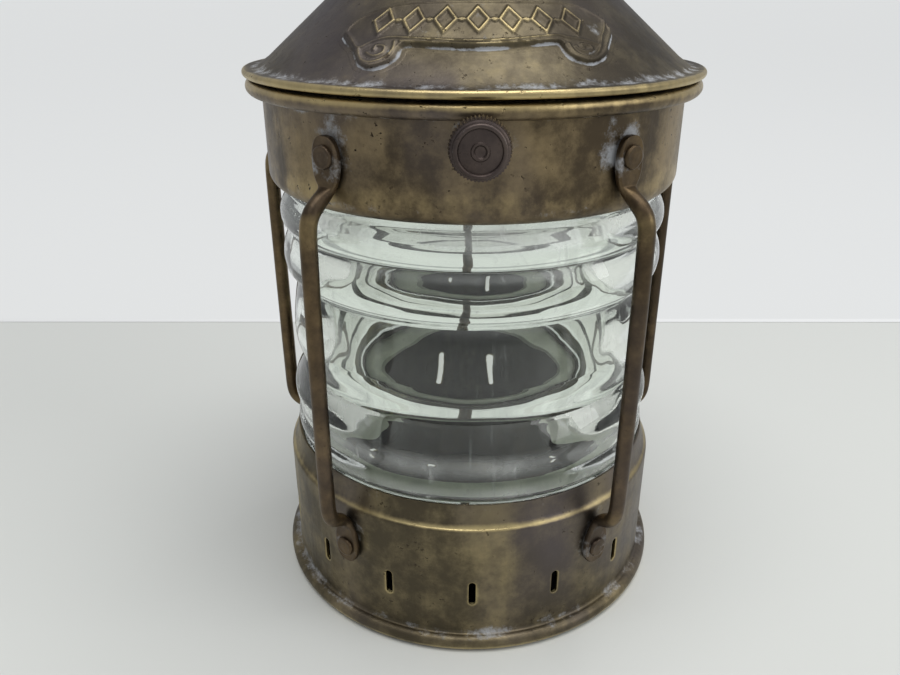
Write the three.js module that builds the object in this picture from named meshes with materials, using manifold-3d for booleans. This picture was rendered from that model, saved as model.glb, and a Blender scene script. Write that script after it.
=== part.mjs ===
// A brass ship lantern: a vented base drum, a ribbed glass in a wire guard, a collar with a
// clamping screw, and a lift-off conical hood with its ventilator and carrying bail.
// Millimetres, +Z up, origin on the underside at the lantern's axis. The clamping screw faces -Y.
import * as THREE from "three";
import { mergeVertices } from "three/addons/utils/BufferGeometryUtils.js";
import Module from "manifold-3d";

const wasm = await Module();
wasm.setup();

// ---------- Driving dimensions ----------
const BODY_R = 65.5; // base drum, outside
const DRUM_H = 45.9; // base drum, up to the shoulder's edge
const GLASS_H = 93; // glass, end to end
const SHEET = 0.9; // brass sheet of every shell
const GAP = 0.4; // clearance between two pieces that meet
const SIDES = 45; // facets round the lantern: a multiple of the 5 guard rods and 15 vents
const INNER_SIDES = 30; // facets of the smaller and hidden rings

const BEAD_R = 2.5; // rolled foot bead
const BEAD_PROUD = 3.57; // how far the foot bead stands outside the drum
const SHOULDER_RISE = 7; // shoulder, from its edge to the lip
const SHOULDER_IN = 2.9; // how far the shoulder leans in
const SHOULDER_BEND = 1.2; // radius of the shoulder's edge
const VENTS = 15;
const VENT_H = 8.8;
const VENT_W = 2.3;
const VENT_Z = 21;
const FLOOR_T = 1;

const GLASS_WALL = 6.6; // glass between its bore and its neck
const GLASS_INSET = 4.5; // neck of the glass inside the drum's outside
const PACKING_T = 1.4;
const SEAT_T = 1.2;
const SEAT_GAP = 0.7; // glass seat inside the drum
const WELL_R = 45; // opening into the base

const COLLAR_STEP = 0.8; // collar inside the drum's outside
const COLLAR_H = 29.6; // collar, from its lower edge to the middle of its bead
const COLLAR_CORNER = 4.5;
const COLLAR_OVERLAP = 3.7; // how far the glass stands up into the collar
const COLLAR_BEAD_R = 2.25;
const COLLAR_BEAD_OUT = 2.45; // bead's middle outside the collar wall

const FLANGE_OUT = 5.3; // hood flange outside the collar wall
const FLANGE_ROLL = 1.1; // radius of the flange's rolled edge
const CONE_SLOPE = 1.151; // millimetres in for each millimetre up
const CONE_FOOT_IN = 5; // where the cone's line meets the flange, inside the flange's edge
const SKIRT_H = 13.2; // sleeve under the hood, inside the collar

const NECK_R = 27; // ventilator spigot, outside
const SPIGOT_H = 4;
const NECK_H = 19;
const NECK_VENTS = 12;
const NECK_VENT_R = 2.6;
const CAP_OVERHANG = 5;
const CAP_RISE = 12;

const RODS = 5;
const ROD_R = 2.4;
const ROD_STANDOFF = 8.7; // rod's centre line outside the drum
const TAB_W = 9.2;
const TAB_H = 15;
const TAB_T = 2;
const RIVET_HEAD_R = 3.4;
const RIVET_SHANK_R = 1.8;
const RIVET_RISE = 1.5;
const UPPER_RIVET_DROP = 13.5; // below the collar bead's middle
const LOWER_RIVET_Z = 31.7;

const SCREW_DROP = 7.2; // clamping screw below the collar bead's middle
const SCREW_R = 2;
const KNOB_R = 7.5;
const KNOB_T = 6.2;
const KNOB_TEETH = 24;
const BOSS_R = 4.5;
const BOSS_L = 7.5;
const WASHER_R = 5.6;
const WASHER_T = 0.8;

const SCROLL_HALF = 36.5; // half the ribbon's length round the cone
const SCROLL_W = 15; // its width up the slope
const SCROLL_T = 1.3;
const SCROLL_MID_R = 50; // cone radius along its middle
const CURL_R = 3; // rolled ends that hang below it
const CURL_T = 2.2;
const CURL_L = 12;
const CURL_AT = 23.6;

const BAIL_WIRE_R = 2.2;
const BAIL_ARM = 38; // straight part of each arm
const BAIL_LEAN = 118; // degrees back from upright
const EAR_STANDOFF = 9; // bail pivot outside the neck
const EAR_T = 2;
const EAR_W = 10;
const EAR_PIVOT_UP = 9; // pivot above the neck's lower end

const FOUNT_R = 38;
const FOUNT_H = 22;
const FOUNT_HOLE_R = 10.6;
const BURNER_R = 13;
const WICK_W = 12.6;
const WICK_T = 1.8;
const SPINDLE_R = 1;
const STAR_R = 3.2;
const FILLER_OUT = 24;
const FILLER_R = 6;
const CLIPS = 3;

// ---------- Heights and radii that follow ----------
const DRUM_IN = BODY_R - SHEET;
const LIP_Z = DRUM_H + SHOULDER_RISE;
const LIP_R = BODY_R - SHOULDER_IN;
const GLASS_NECK_R = BODY_R - GLASS_INSET;
const GLASS_BORE = GLASS_NECK_R - GLASS_WALL - 1.4;
const SEAT_Z = DRUM_H + 1.1;
const LOWER_PACKING_Z = SEAT_Z + SEAT_T + GAP;
const GLASS_Z = LOWER_PACKING_Z + PACKING_T + GAP;
const GLASS_TOP = GLASS_Z + GLASS_H;
const UPPER_PACKING_Z = GLASS_TOP + GAP;
const RETAINER_Z = UPPER_PACKING_Z + PACKING_T + GAP;
const COLLAR_R = BODY_R - COLLAR_STEP;
const COLLAR_IN = COLLAR_R - SHEET;
const COLLAR_Z = GLASS_TOP - COLLAR_OVERLAP;
const COLLAR_BEAD_Z = COLLAR_Z + COLLAR_H;
const COLLAR_LIP_R = GLASS_NECK_R - 1.8 + GAP;
const FLANGE_R = COLLAR_R + FLANGE_OUT;
const FLANGE_Z = COLLAR_BEAD_Z + COLLAR_BEAD_R + GAP; // underside of the flange
const FLANGE_TOP = FLANGE_Z + 2 * FLANGE_ROLL;
const CONE_FOOT_R = FLANGE_R - CONE_FOOT_IN;
const SKIRT_R = COLLAR_IN - 1.5 * GAP;
const SKIRT_TOP = FLANGE_Z - 0.1;
const SKIRT_Z = SKIRT_TOP - SKIRT_H;
const CONE_TOP = coneZ(NECK_R);
const NECK_IN = NECK_R + GAP;
const NECK_OUT = NECK_IN + SHEET;
const NECK_Z = CONE_TOP + GAP;
const NECK_TOP = NECK_Z + NECK_H;
const CAP_R = NECK_OUT + CAP_OVERHANG;
const ROD_LINE_R = BODY_R + ROD_STANDOFF;
const UPPER_RIVET_Z = COLLAR_BEAD_Z - UPPER_RIVET_DROP;
const SCREW_Z = COLLAR_BEAD_Z - SCREW_DROP;
const FOUNT_Z = FLOOR_T + GAP;
const FOUNT_TOP = FOUNT_Z + FOUNT_H;
const EAR_X = NECK_OUT + EAR_STANDOFF;
const PIVOT_Z = NECK_Z + EAR_PIVOT_UP;
const EAR_RIVET_Z = NECK_Z + SPIGOT_H + GAP + 1.6;

// Radius of the shoulder's inner face at a height.
function shoulderIn(z) {
  const share = (z - DRUM_H + SHOULDER_BEND / 2) / (SHOULDER_RISE + SHOULDER_BEND / 2);
  return BODY_R - SHEET - SHOULDER_BEND - share * (SHOULDER_IN - SHOULDER_BEND);
}

// Height of the cone's outer face at a radius.
function coneZ(r) {
  return FLANGE_TOP + (CONE_FOOT_R - r) / CONE_SLOPE;
}

// ---------- Helpers ----------
const lantern = new THREE.Group();
const FINISH = {
  brass: { color: 0x7a6236, roughness: 0.42, metalness: 0.9 },
  dark: { color: 0x4a3826, roughness: 0.5, metalness: 0.85 },
  glass: { color: 0xc8dccb, roughness: 0.08, metalness: 0 },
  cotton: { color: 0xd8cfb8, roughness: 0.95, metalness: 0 },
  packing: { color: 0x2b2a26, roughness: 0.9, metalness: 0 },
};

function vec(x, y) {
  return new THREE.Vector2(x, y);
}

// A closed solid from a geometry whose faces all point outwards.
function solid(geometry) {
  const bare = geometry.clone();
  bare.deleteAttribute("normal");
  bare.deleteAttribute("uv");
  const merged = mergeVertices(bare, 1e-4);
  const mesh = new wasm.Mesh({
    numProp: 3,
    vertProperties: new Float32Array(merged.attributes.position.array),
    triVerts: new Uint32Array(merged.index.array),
  });
  return new wasm.Manifold(mesh);
}

function geometryOf(body) {
  const mesh = body.getMesh();
  const geometry = new THREE.BufferGeometry();
  geometry.setAttribute("position", new THREE.BufferAttribute(mesh.vertProperties, 3));
  geometry.setIndex(new THREE.BufferAttribute(mesh.triVerts, 1));
  return geometry;
}

function add(name, shape, finish) {
  const geometry = shape.isBufferGeometry ? shape : geometryOf(shape);
  const mesh = new THREE.Mesh(geometry, new THREE.MeshStandardMaterial(FINISH[finish]));
  mesh.name = name;
  lantern.add(mesh);
  return mesh;
}

// A turned ring or pot from [radius, height] points that run round the section anticlockwise.
// A corner of every ring faces the front, so that facets line up from piece to piece.
function turned(points, sides = SIDES) {
  const first = points[0];
  const closed = first[0] > 0 ? [...points, first] : points;
  const profile = closed.map(([r, z]) => vec(r, z));
  const geometry = new THREE.LatheGeometry(profile, sides);
  geometry.rotateX(Math.PI / 2).rotateZ(-Math.PI / 2);
  return solid(geometry);
}

// Points of an arc in a section, from one angle to another, in degrees.
function arc(r, z, radius, from, to, steps = 4) {
  return Array.from({ length: steps + 1 }, (_, i) => {
    const angle = THREE.MathUtils.degToRad(from + ((to - from) * i) / steps);
    return [r + radius * Math.cos(angle), z + radius * Math.sin(angle)];
  });
}

function ring(inner, outer, low, high, sides = SIDES) {
  return turned([[inner, low], [outer, low], [outer, high], [inner, high]], sides);
}

function disc(radius, low, high, sides = SIDES) {
  return turned([[0, low], [radius, low], [radius, high], [0, high]], sides);
}

function rod(radius, length, sides = 16) {
  return new THREE.CylinderGeometry(radius, radius, length, sides).rotateX(Math.PI / 2);
}

function plate(shape, thickness, curveSegments = 6) {
  return new THREE.ExtrudeGeometry(shape, { depth: thickness, bevelEnabled: false, curveSegments });
}

// A flat strip outline with round ends, centred on the origin, long way up.
function stadium(width, height) {
  const shape = new THREE.Shape();
  const r = width / 2;
  const straight = height / 2 - r;
  shape.absarc(0, straight, r, 0, Math.PI);
  shape.absarc(0, -straight, r, Math.PI, 2 * Math.PI);
  shape.closePath();
  return shape;
}

function circle(radius, sides) {
  const shape = new THREE.Shape();
  for (let i = 0; i < sides; i++) {
    const angle = (2 * Math.PI * i) / sides;
    shape[i ? "lineTo" : "moveTo"](radius * Math.cos(angle), radius * Math.sin(angle));
  }
  shape.closePath();
  return shape;
}

// A geometry laid flat in XY stands up facing outwards at the front (-Y), then turns round the axis.
// Its old +Z points outwards, and its old Z = 0 lands at the given radius.
function onWall(geometry, radius, z, turn = 0) {
  return geometry
    .rotateX(Math.PI / 2)
    .translate(0, -radius, z)
    .rotateZ(THREE.MathUtils.degToRad(turn));
}

function bar(points, radius, sides, steps) {
  const path = new THREE.CatmullRomCurve3(points, false, "centripetal");
  return new THREE.ExtrudeGeometry(circle(radius, sides), {
    steps,
    extrudePath: path,
    bevelEnabled: false,
  });
}

// Holes for one row of the guard's rivets.
function drillRivets(body, wallR, z) {
  const drill = plate(circle(RIVET_SHANK_R + GAP, 8), 6);
  for (let i = 0; i < RODS; i++) {
    body = body.subtract(solid(onWall(drill.clone(), wallR - 3, z, rodTurn(i))));
  }
  return body;
}

// ---------- Base ----------
function baseDrum() {
  const beadR = BODY_R + BEAD_PROUD - BEAD_R;
  const wall = [
    [DRUM_IN, GAP],
    [beadR, 0],
    ...arc(beadR, BEAD_R, BEAD_R, -50, 85, 4),
    [BODY_R, 2 * BEAD_R + 0.6],
    [BODY_R, DRUM_H - SHOULDER_BEND],
    ...arc(BODY_R - SHOULDER_BEND, DRUM_H - SHOULDER_BEND, SHOULDER_BEND, 30, 65, 1),
    [LIP_R, LIP_Z],
    [LIP_R - SHEET, LIP_Z],
    [BODY_R - SHOULDER_BEND - SHEET, DRUM_H - SHOULDER_BEND / 2],
    [DRUM_IN, DRUM_H - SHOULDER_BEND - SHEET],
  ];
  let drum = turned(wall);
  const slot = plate(stadium(VENT_W, VENT_H), 12, 3);
  for (let i = 0; i < VENTS; i++) {
    drum = drum.subtract(solid(onWall(slot.clone(), BODY_R - 6, VENT_Z, (360 * i) / VENTS)));
  }
  add("base_drum", drillRivets(drum, BODY_R, LOWER_RIVET_Z), "brass");
  add("base_floor", disc(DRUM_IN - GAP, 0, FLOOR_T, INNER_SIDES), "dark");
}

function packing(name, outer, low) {
  add(name, ring(GLASS_BORE + 1, outer, low, low + PACKING_T, INNER_SIDES), "packing");
}

function glassSeat() {
  const outer = DRUM_IN - SEAT_GAP;
  const hem = 5;
  const seat = turned([
    [WELL_R, SEAT_Z],
    [outer - SHEET, SEAT_Z],
    [outer - SHEET, SEAT_Z - hem],
    [outer, SEAT_Z - hem],
    [outer, DRUM_H - SHOULDER_BEND - SHEET - SEAT_GAP],
    [shoulderIn(SEAT_Z + SEAT_T) - SEAT_GAP, SEAT_Z + SEAT_T],
    [WELL_R, SEAT_Z + SEAT_T],
  ], INNER_SIDES);
  add("glass_seat", seat, "dark");
  packing("lower_packing", GLASS_NECK_R - 0.6, LOWER_PACKING_Z);
}

// ---------- Glass ----------
// Heights of the rings are from the bottom of the glass, and radii are from its neck.
function glass() {
  const z = (share) => GLASS_Z + share * GLASS_H;
  const r = (out) => GLASS_NECK_R + out;
  const section = [
    [GLASS_BORE, GLASS_Z],
    [r(0), GLASS_Z],
    [r(0), z(0.034)],
    [r(0.9), z(0.058)],
    [r(0.3), z(0.108)],
    [r(1.2), z(0.165)],
    [r(1.2), z(0.211)],
    [r(-1.6), z(0.272)],
    [r(-3), z(0.298)],
    [r(-1.4), z(0.38)],
    [r(-0.5), z(0.46)],
    [r(-1.4), z(0.56)],
    [r(-2.6), z(0.628)],
    [r(0.4), z(0.69)],
    [r(1.4), z(0.728)],
    [r(0.2), z(0.758)],
    [r(-1.7), z(0.792)],
    [r(0.5), z(0.835)],
    [r(1.3), z(0.868)],
    [r(-1.8), z(0.936)],
    [r(-1.8), GLASS_TOP],
    [GLASS_BORE, GLASS_TOP],
  ];
  add("glass_lens", turned(section), "glass");
}

// ---------- Collar ----------
function collar() {
  const beadMid = COLLAR_R + COLLAR_BEAD_OUT;
  const corner = COLLAR_R - COLLAR_CORNER;
  const wall = [
    [COLLAR_LIP_R, COLLAR_Z],
    ...arc(corner, COLLAR_Z + COLLAR_CORNER, COLLAR_CORNER, -90, 0, 3),
    [COLLAR_R, COLLAR_BEAD_Z - COLLAR_BEAD_R],
    ...arc(beadMid, COLLAR_BEAD_Z, COLLAR_BEAD_R, -110, 110, 5),
    [COLLAR_IN, COLLAR_BEAD_Z + 0.6],
    [COLLAR_IN, COLLAR_Z + COLLAR_CORNER],
    ...arc(corner, COLLAR_Z + COLLAR_CORNER, COLLAR_CORNER - SHEET, -45, -90, 1),
    [COLLAR_LIP_R, COLLAR_Z + SHEET],
  ];
  const hole = onWall(plate(circle(SCREW_R + GAP, 16), 8), COLLAR_R - 4, SCREW_Z);
  const body = turned(wall).subtract(solid(hole));
  add("collar", drillRivets(body, COLLAR_R, UPPER_RIVET_Z), "brass");
  const retainerR = COLLAR_IN - GAP;
  const retainer = turned([
    [WELL_R + 3, RETAINER_Z],
    [retainerR, RETAINER_Z],
    [retainerR, RETAINER_Z + 3.4],
    [retainerR - SHEET, RETAINER_Z + 3.4],
    [retainerR - SHEET, RETAINER_Z + SEAT_T],
    [WELL_R + 3, RETAINER_Z + SEAT_T],
  ], INNER_SIDES);
  add("glass_retainer", retainer, "dark");
  packing("upper_packing", GLASS_NECK_R - 2.2, UPPER_PACKING_Z);
}

// ---------- Wire guard ----------
function rodTurn(i) {
  return ((i + 0.5) * 360) / RODS;
}

// A guard rod is round, and its ends are hammered into flat tabs that hug the collar and the drum.
// It is shaped at the front of the lantern and then turned to its place.
function guardRod() {
  const upperR = COLLAR_R + GAP + TAB_T / 2;
  const lowerR = BODY_R + GAP + TAB_T / 2;
  const upperTab = UPPER_RIVET_Z;
  const lowerTab = LOWER_RIVET_Z;
  const points = [
    [upperR + 1, upperTab - 5],
    [upperR + 1.5, upperTab - 8.5],
    [upperR + 4, upperTab - 13],
    [ROD_LINE_R - 0.8, upperTab - 17],
    [ROD_LINE_R, upperTab - 22],
    [ROD_LINE_R, (upperTab + lowerTab) / 2],
    [ROD_LINE_R, lowerTab + 17],
    [ROD_LINE_R - 0.8, lowerTab + 13],
    [lowerR + 4, lowerTab + 8.5],
    [lowerR + 1.6, lowerTab + 5],
    [lowerR + 1, lowerTab + 2],
  ].map(([r, z]) => new THREE.Vector3(0, -r, z));
  let body = solid(bar(points, ROD_R, 8, 16));
  for (const [tabR, z] of [[upperR, upperTab], [lowerR, lowerTab]]) {
    body = body.add(solid(onWall(plate(stadium(TAB_W, TAB_H), TAB_T, 3), tabR - TAB_T / 2, z)));
  }
  const facets = [0, 0, -rodTurn(0)];
  body = body.subtract(disc(COLLAR_R + GAP, upperTab - TAB_H, COLLAR_BEAD_Z).rotate(facets));
  body = body.subtract(disc(BODY_R + GAP, 0, LIP_Z + 4).rotate(facets));
  for (const [wallR, z] of [[COLLAR_R, upperTab], [BODY_R, lowerTab]]) {
    const drill = onWall(plate(circle(RIVET_SHANK_R + GAP, 8), 10), wallR - 4, z);
    const spotFace = onWall(plate(circle(RIVET_HEAD_R + GAP, 12), 12), wallR + GAP + TAB_T, z);
    body = body.subtract(solid(drill)).subtract(solid(spotFace));
  }
  return body;
}

// A rivet: a low domed head outside, its shank through tab and sheet, and a flush tail inside.
function rivet(name, wallR, z, turn) {
  const head = GAP + TAB_T + GAP;
  const tail = -SHEET - 1.2;
  const profile = [
    [0, tail],
    [RIVET_SHANK_R, tail],
    [RIVET_SHANK_R, head],
    [RIVET_HEAD_R, head],
    [RIVET_HEAD_R * 0.92, head + RIVET_RISE * 0.5],
    [RIVET_HEAD_R * 0.6, head + RIVET_RISE * 0.9],
    [0, head + RIVET_RISE],
  ];
  const points = profile.map(([r, h]) => vec(r, h));
  const geometry = new THREE.LatheGeometry(points, 12).rotateX(Math.PI / 2);
  add(name, solid(onWall(geometry, wallR, z, turn)), "dark");
}

function guard() {
  const master = guardRod();
  for (let i = 0; i < RODS; i++) {
    add("guard_rod_" + (i + 1), master.rotate([0, 0, rodTurn(i)]), "dark");
    rivet("collar_rivet_" + (i + 1), COLLAR_R, UPPER_RIVET_Z, rodTurn(i));
    rivet("base_rivet_" + (i + 1), BODY_R, LOWER_RIVET_Z, rodTurn(i));
  }
}

// ---------- Clamping screw ----------
function clampingScrew() {
  const bossFoot = COLLAR_R + GAP;
  const bore = solid(onWall(plate(circle(SCREW_R + GAP, 16), BOSS_L + 4), bossFoot - 2, SCREW_Z));
  const boss = solid(onWall(plate(circle(BOSS_R, 20), BOSS_L), bossFoot, SCREW_Z));
  add("screw_boss", boss.subtract(bore), "dark");
  const washerR = bossFoot + BOSS_L + GAP;
  const washerBore = solid(onWall(plate(circle(SCREW_R + GAP, 16), WASHER_T + 2), washerR - 1, SCREW_Z));
  const washer = solid(onWall(plate(circle(WASHER_R, 20), WASHER_T), washerR, SCREW_Z));
  add("screw_washer", washer.subtract(washerBore), "dark");

  const knobR = washerR + WASHER_T + GAP;
  const milled = new THREE.Shape();
  for (let i = 0; i < 2 * KNOB_TEETH; i++) {
    const angle = (Math.PI * i) / KNOB_TEETH;
    const radius = i % 2 ? KNOB_R : KNOB_R - 0.4;
    milled[i ? "lineTo" : "moveTo"](radius * Math.cos(angle), radius * Math.sin(angle));
  }
  milled.closePath();
  const rim = solid(onWall(plate(milled, KNOB_T * 0.55), knobR, SCREW_Z));
  const crown = new THREE.LatheGeometry(
    [
      vec(0, 0.5),
      vec(KNOB_R - 0.6, 0.5),
      vec(KNOB_R - 0.6, KNOB_T * 0.7),
      vec(KNOB_R - 1.3, KNOB_T),
      vec(KNOB_R - 2, KNOB_T),
      vec(KNOB_R - 2.4, KNOB_T - 0.5),
      vec(0, KNOB_T - 0.5),
    ],
    24,
  ).rotateX(Math.PI / 2);
  const tip = SKIRT_R + GAP;
  const shank = plate(circle(SCREW_R, 16), knobR + 1 - tip);
  const screw = rim.add(solid(onWall(crown, knobR, SCREW_Z))).add(solid(onWall(shank, tip, SCREW_Z)));
  add("clamping_screw", screw, "dark");
}

// ---------- Hood ----------
function hoodCone() {
  const outer = [
    [CONE_FOOT_R + 1.6, FLANGE_TOP - 0.1],
    [CONE_FOOT_R - 1.4, coneZ(CONE_FOOT_R - 1.4) + 0.25],
    [NECK_R, CONE_TOP],
    [NECK_R, CONE_TOP + SPIGOT_H],
    [NECK_R - SHEET, CONE_TOP + SPIGOT_H],
    [NECK_R - SHEET, CONE_TOP - SHEET * 0.4],
    [CONE_FOOT_R - 2.2, coneZ(CONE_FOOT_R - 2.2) - SHEET * 1.25],
    [CONE_FOOT_R + 0.6, FLANGE_TOP - SHEET - 0.1],
    [FLANGE_R - 2 * FLANGE_ROLL, FLANGE_TOP - SHEET - 0.1],
  ];
  const roll = arc(FLANGE_R - FLANGE_ROLL, FLANGE_Z + FLANGE_ROLL, FLANGE_ROLL, -140, 90, 4);
  add("hood_cone", turned([...roll, ...outer]), "brass");
  add("hood_skirt", ring(SKIRT_R - SHEET, SKIRT_R, SKIRT_Z, SKIRT_TOP, INNER_SIDES), "dark");
}

// A ribbon of brass laid on the front of the cone: its ends narrow, and a small roll hangs at each.
function scroll() {
  const geometry = new THREE.BoxGeometry(2 * SCROLL_HALF, SCROLL_W, SCROLL_T, 20, 1, 1);
  const lift = SCROLL_T / 2 + GAP;
  const lie = (point) => {
    const end = Math.max(0, Math.abs(point.x) / SCROLL_HALF - 0.8) / 0.2;
    const up = point.y * (1 - 0.75 * end) - 1.5 * end;
    return onCone(point.x, up, point.z + lift, SCROLL_MID_R);
  };
  let body = solid(bend(geometry, lie));
  for (const side of [-1, 1]) {
    const roll = new THREE.CylinderGeometry(CURL_R, CURL_R, CURL_L, 10, 3).rotateZ(Math.PI / 2);
    const place = (point) => {
      const up = point.y - SCROLL_W / 2 - 0.8 * CURL_R;
      const out = (point.z * CURL_T) / (2 * CURL_R) + GAP + CURL_T / 2;
      return onCone(point.x + side * CURL_AT, up, out, SCROLL_MID_R);
    };
    body = body.add(solid(bend(roll, place)));
  }
  add("scroll_plate", body, "brass");
}

// A place on the cone: round its front, up its slope from the middle radius, and out from its face.
function onCone(round, up, out, midR) {
  const slope = Math.hypot(CONE_SLOPE, 1);
  const r = midR - (up * CONE_SLOPE) / slope + out / slope;
  const z = coneZ(midR) + up / slope + (out * CONE_SLOPE) / slope;
  const angle = round / midR;
  return new THREE.Vector3(r * Math.sin(angle), -r * Math.cos(angle), z);
}

function bend(geometry, lie) {
  const position = geometry.attributes.position;
  const point = new THREE.Vector3();
  for (let i = 0; i < position.count; i++) {
    point.fromBufferAttribute(position, i);
    position.setXYZ(i, ...lie(point).toArray());
  }
  return geometry;
}

// ---------- Ventilator ----------
function ventilator() {
  let neck = ring(NECK_IN, NECK_OUT, NECK_Z, NECK_TOP, INNER_SIDES);
  const hole = plate(circle(NECK_VENT_R, 8), 6);
  for (let i = 0; i < NECK_VENTS; i++) {
    const turn = (360 * (i + 0.5)) / NECK_VENTS;
    neck = neck.subtract(solid(onWall(hole.clone(), NECK_IN - 3, NECK_TOP - 5.4, turn)));
  }
  for (const side of [-1, 1]) {
    const drill = onWall(plate(circle(1.2 + GAP, 10), 8), NECK_IN - 4, EAR_RIVET_Z, 90 * side);
    neck = neck.subtract(solid(drill));
  }
  add("vent_neck", neck, "brass");

  const baffleZ = CONE_TOP + 2;
  const reach = NECK_R - SHEET - GAP;
  let baffle = solid(plate(circle(NECK_R * 0.66, 24), SHEET));
  for (let i = 0; i < 3; i++) {
    const arm = new THREE.BoxGeometry(5, reach - 6, SHEET, 1, 1, 1).translate(0, (reach + 5) / 2, SHEET / 2);
    baffle = baffle.add(solid(arm.rotateZ((2 * Math.PI * i) / 3)));
  }
  add("draught_baffle", baffle.translate([0, 0, baffleZ]), "dark");

  const capFoot = NECK_TOP + GAP;
  const cap = turned([
    [0, capFoot + CAP_RISE - SHEET],
    [NECK_OUT * 0.5, capFoot + CAP_RISE * 0.78 - SHEET],
    [NECK_OUT - 1, capFoot + CAP_RISE * 0.3 - SHEET],
    [NECK_OUT - 1, capFoot],
    [NECK_OUT + 0.4, capFoot],
    [CAP_R - 1.4, capFoot - 2.2],
    [CAP_R, capFoot - 2.2],
    [CAP_R, capFoot - 0.8],
    [NECK_OUT, capFoot + CAP_RISE * 0.36],
    [NECK_OUT * 0.5, capFoot + CAP_RISE * 0.8],
    [4, capFoot + CAP_RISE],
    [4, capFoot + CAP_RISE + 1.5],
    ...arc(0, capFoot + CAP_RISE + 4.6, 5, -35, 60, 2),
    [0, capFoot + CAP_RISE + 9.6],
  ], INNER_SIDES);
  add("vent_cap", cap, "brass");
}

// ---------- Carrying bail ----------
// Each ear is a cranked strap riveted to the neck, with a hole for the hooked end of the bail.
function bailEar(name, side) {
  const stand = EAR_X - EAR_T / 2;
  const foot = new THREE.BoxGeometry(EAR_T, EAR_W, 11).translate(NECK_OUT + GAP + EAR_T / 2, 0, PIVOT_Z - 3.4);
  const reach = stand - NECK_OUT - GAP + EAR_T;
  const shelf = new THREE.BoxGeometry(reach, EAR_W, EAR_T).translate(
    NECK_OUT + GAP + reach / 2,
    0,
    PIVOT_Z - 8,
  );
  const lug = plate(stadium(EAR_W, 18), EAR_T).rotateX(Math.PI / 2).rotateZ(Math.PI / 2);
  lug.translate(stand, 0, PIVOT_Z - 4.1);
  const pin = rod(BAIL_WIRE_R + GAP, 12, 16).rotateY(Math.PI / 2).translate(EAR_X, 0, PIVOT_Z);
  const drill = rod(1.2 + GAP, 12, 10).rotateY(Math.PI / 2).translate(NECK_OUT, 0, EAR_RIVET_Z);
  const hug = disc(NECK_OUT + GAP, PIVOT_Z - 20, PIVOT_Z + 20);
  let ear = solid(foot).add(solid(shelf)).add(solid(lug));
  ear = ear.subtract(solid(drill)).subtract(hug);
  ear = ear.subtract(solid(pin));
  add(name, side > 0 ? ear : ear.rotate([0, 0, 180]), "dark");
}

function earRivet(name, side) {
  const head = EAR_T + 2 * GAP;
  const tail = -SHEET - 0.8;
  const profile = [[0, tail], [1.2, tail], [1.2, head], [2.2, head], [1.8, head + 0.8], [0, head + 1.1]];
  const points = profile.map(([r, h]) => vec(r, h));
  const geometry = new THREE.LatheGeometry(points, 10).rotateX(Math.PI / 2);
  add(name, solid(onWall(geometry, NECK_OUT, EAR_RIVET_Z, 90 * side)), "dark");
}

// The bail is one wire: a hooked end through each ear, two arms and a half-round bow.
function bail() {
  const arm = EAR_X + EAR_T / 2 + GAP + BAIL_WIRE_R + 0.6;
  const hookEnd = EAR_X - EAR_T / 2 - 2.4;
  const bow = arm;
  const points = [];
  for (let i = 0; i <= 12; i++) {
    const angle = (Math.PI * i) / 12;
    points.push(new THREE.Vector3(bow * Math.cos(angle), 0, BAIL_ARM + bow * Math.sin(angle) * 0.8));
  }
  const path = new THREE.CurvePath();
  const right = new THREE.Vector3(arm, 0, 0);
  const rightTop = new THREE.Vector3(arm, 0, BAIL_ARM);
  const left = new THREE.Vector3(-arm, 0, 0);
  const leftTop = new THREE.Vector3(-arm, 0, BAIL_ARM);
  path.add(new THREE.LineCurve3(right, rightTop));
  path.add(new THREE.CatmullRomCurve3(points));
  path.add(new THREE.LineCurve3(leftTop, left));
  const wire = new THREE.ExtrudeGeometry(circle(BAIL_WIRE_R, 8), {
    steps: 30,
    extrudePath: path,
    bevelEnabled: false,
  });
  let body = solid(wire);
  for (const side of [-1, 1]) {
    const reach = arm - hookEnd;
    const hook = rod(BAIL_WIRE_R, reach, 10).rotateY(Math.PI / 2).translate(side * (hookEnd + reach / 2), 0, 0);
    const knuckle = new THREE.SphereGeometry(BAIL_WIRE_R * 1.12, 8, 6).translate(side * arm, 0, 0);
    body = body.add(solid(hook)).add(solid(knuckle));
  }
  add("bail_handle", body.rotate([-BAIL_LEAN, 0, 0]).translate([0, 0, PIVOT_Z]), "dark");
}

// ---------- Oil lamp ----------
function fount() {
  const hole = FOUNT_HOLE_R;
  const top = FOUNT_TOP;
  const outer = [
    [0, FOUNT_Z],
    [FOUNT_R - 2, FOUNT_Z],
    [FOUNT_R, FOUNT_Z + 2],
    [FOUNT_R, top - 2.4],
    [FOUNT_R - 2.4, top],
    [hole, top],
    [hole, top - SHEET],
    [FOUNT_R - 2.8, top - SHEET],
    [FOUNT_R - SHEET, top - 2.8],
    [FOUNT_R - SHEET, FOUNT_Z + 2.4],
    [FOUNT_R - 2.4, FOUNT_Z + SHEET],
    [0, FOUNT_Z + SHEET],
  ];
  const pour = rod(FILLER_R - 2, 8, 12).translate(-FILLER_OUT, 0, top);
  add("oil_fount", turned(outer, INNER_SIDES).subtract(solid(pour)), "dark");
  const neck = ring(FILLER_R - 2, FILLER_R - 1.2, top + GAP, top + 3.4, 16);
  add("filler_neck", neck.translate([-FILLER_OUT, 0, 0]), "brass");
  const cap = [
    [0, top + 3.8],
    [FILLER_R - 0.8, top + 3.8],
    [FILLER_R - 0.8, top + GAP + 0.3],
    [FILLER_R, top + GAP + 0.3],
    [FILLER_R, top + 4.6],
    [FILLER_R - 0.8, top + 5.2],
    [0, top + 5.2],
  ];
  add("filler_cap", turned(cap, 20).translate([-FILLER_OUT, 0, 0]), "brass");
  add("fount_collar", ring(hole, hole + 2, top + GAP, top + 4, 24), "brass");
}

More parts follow.
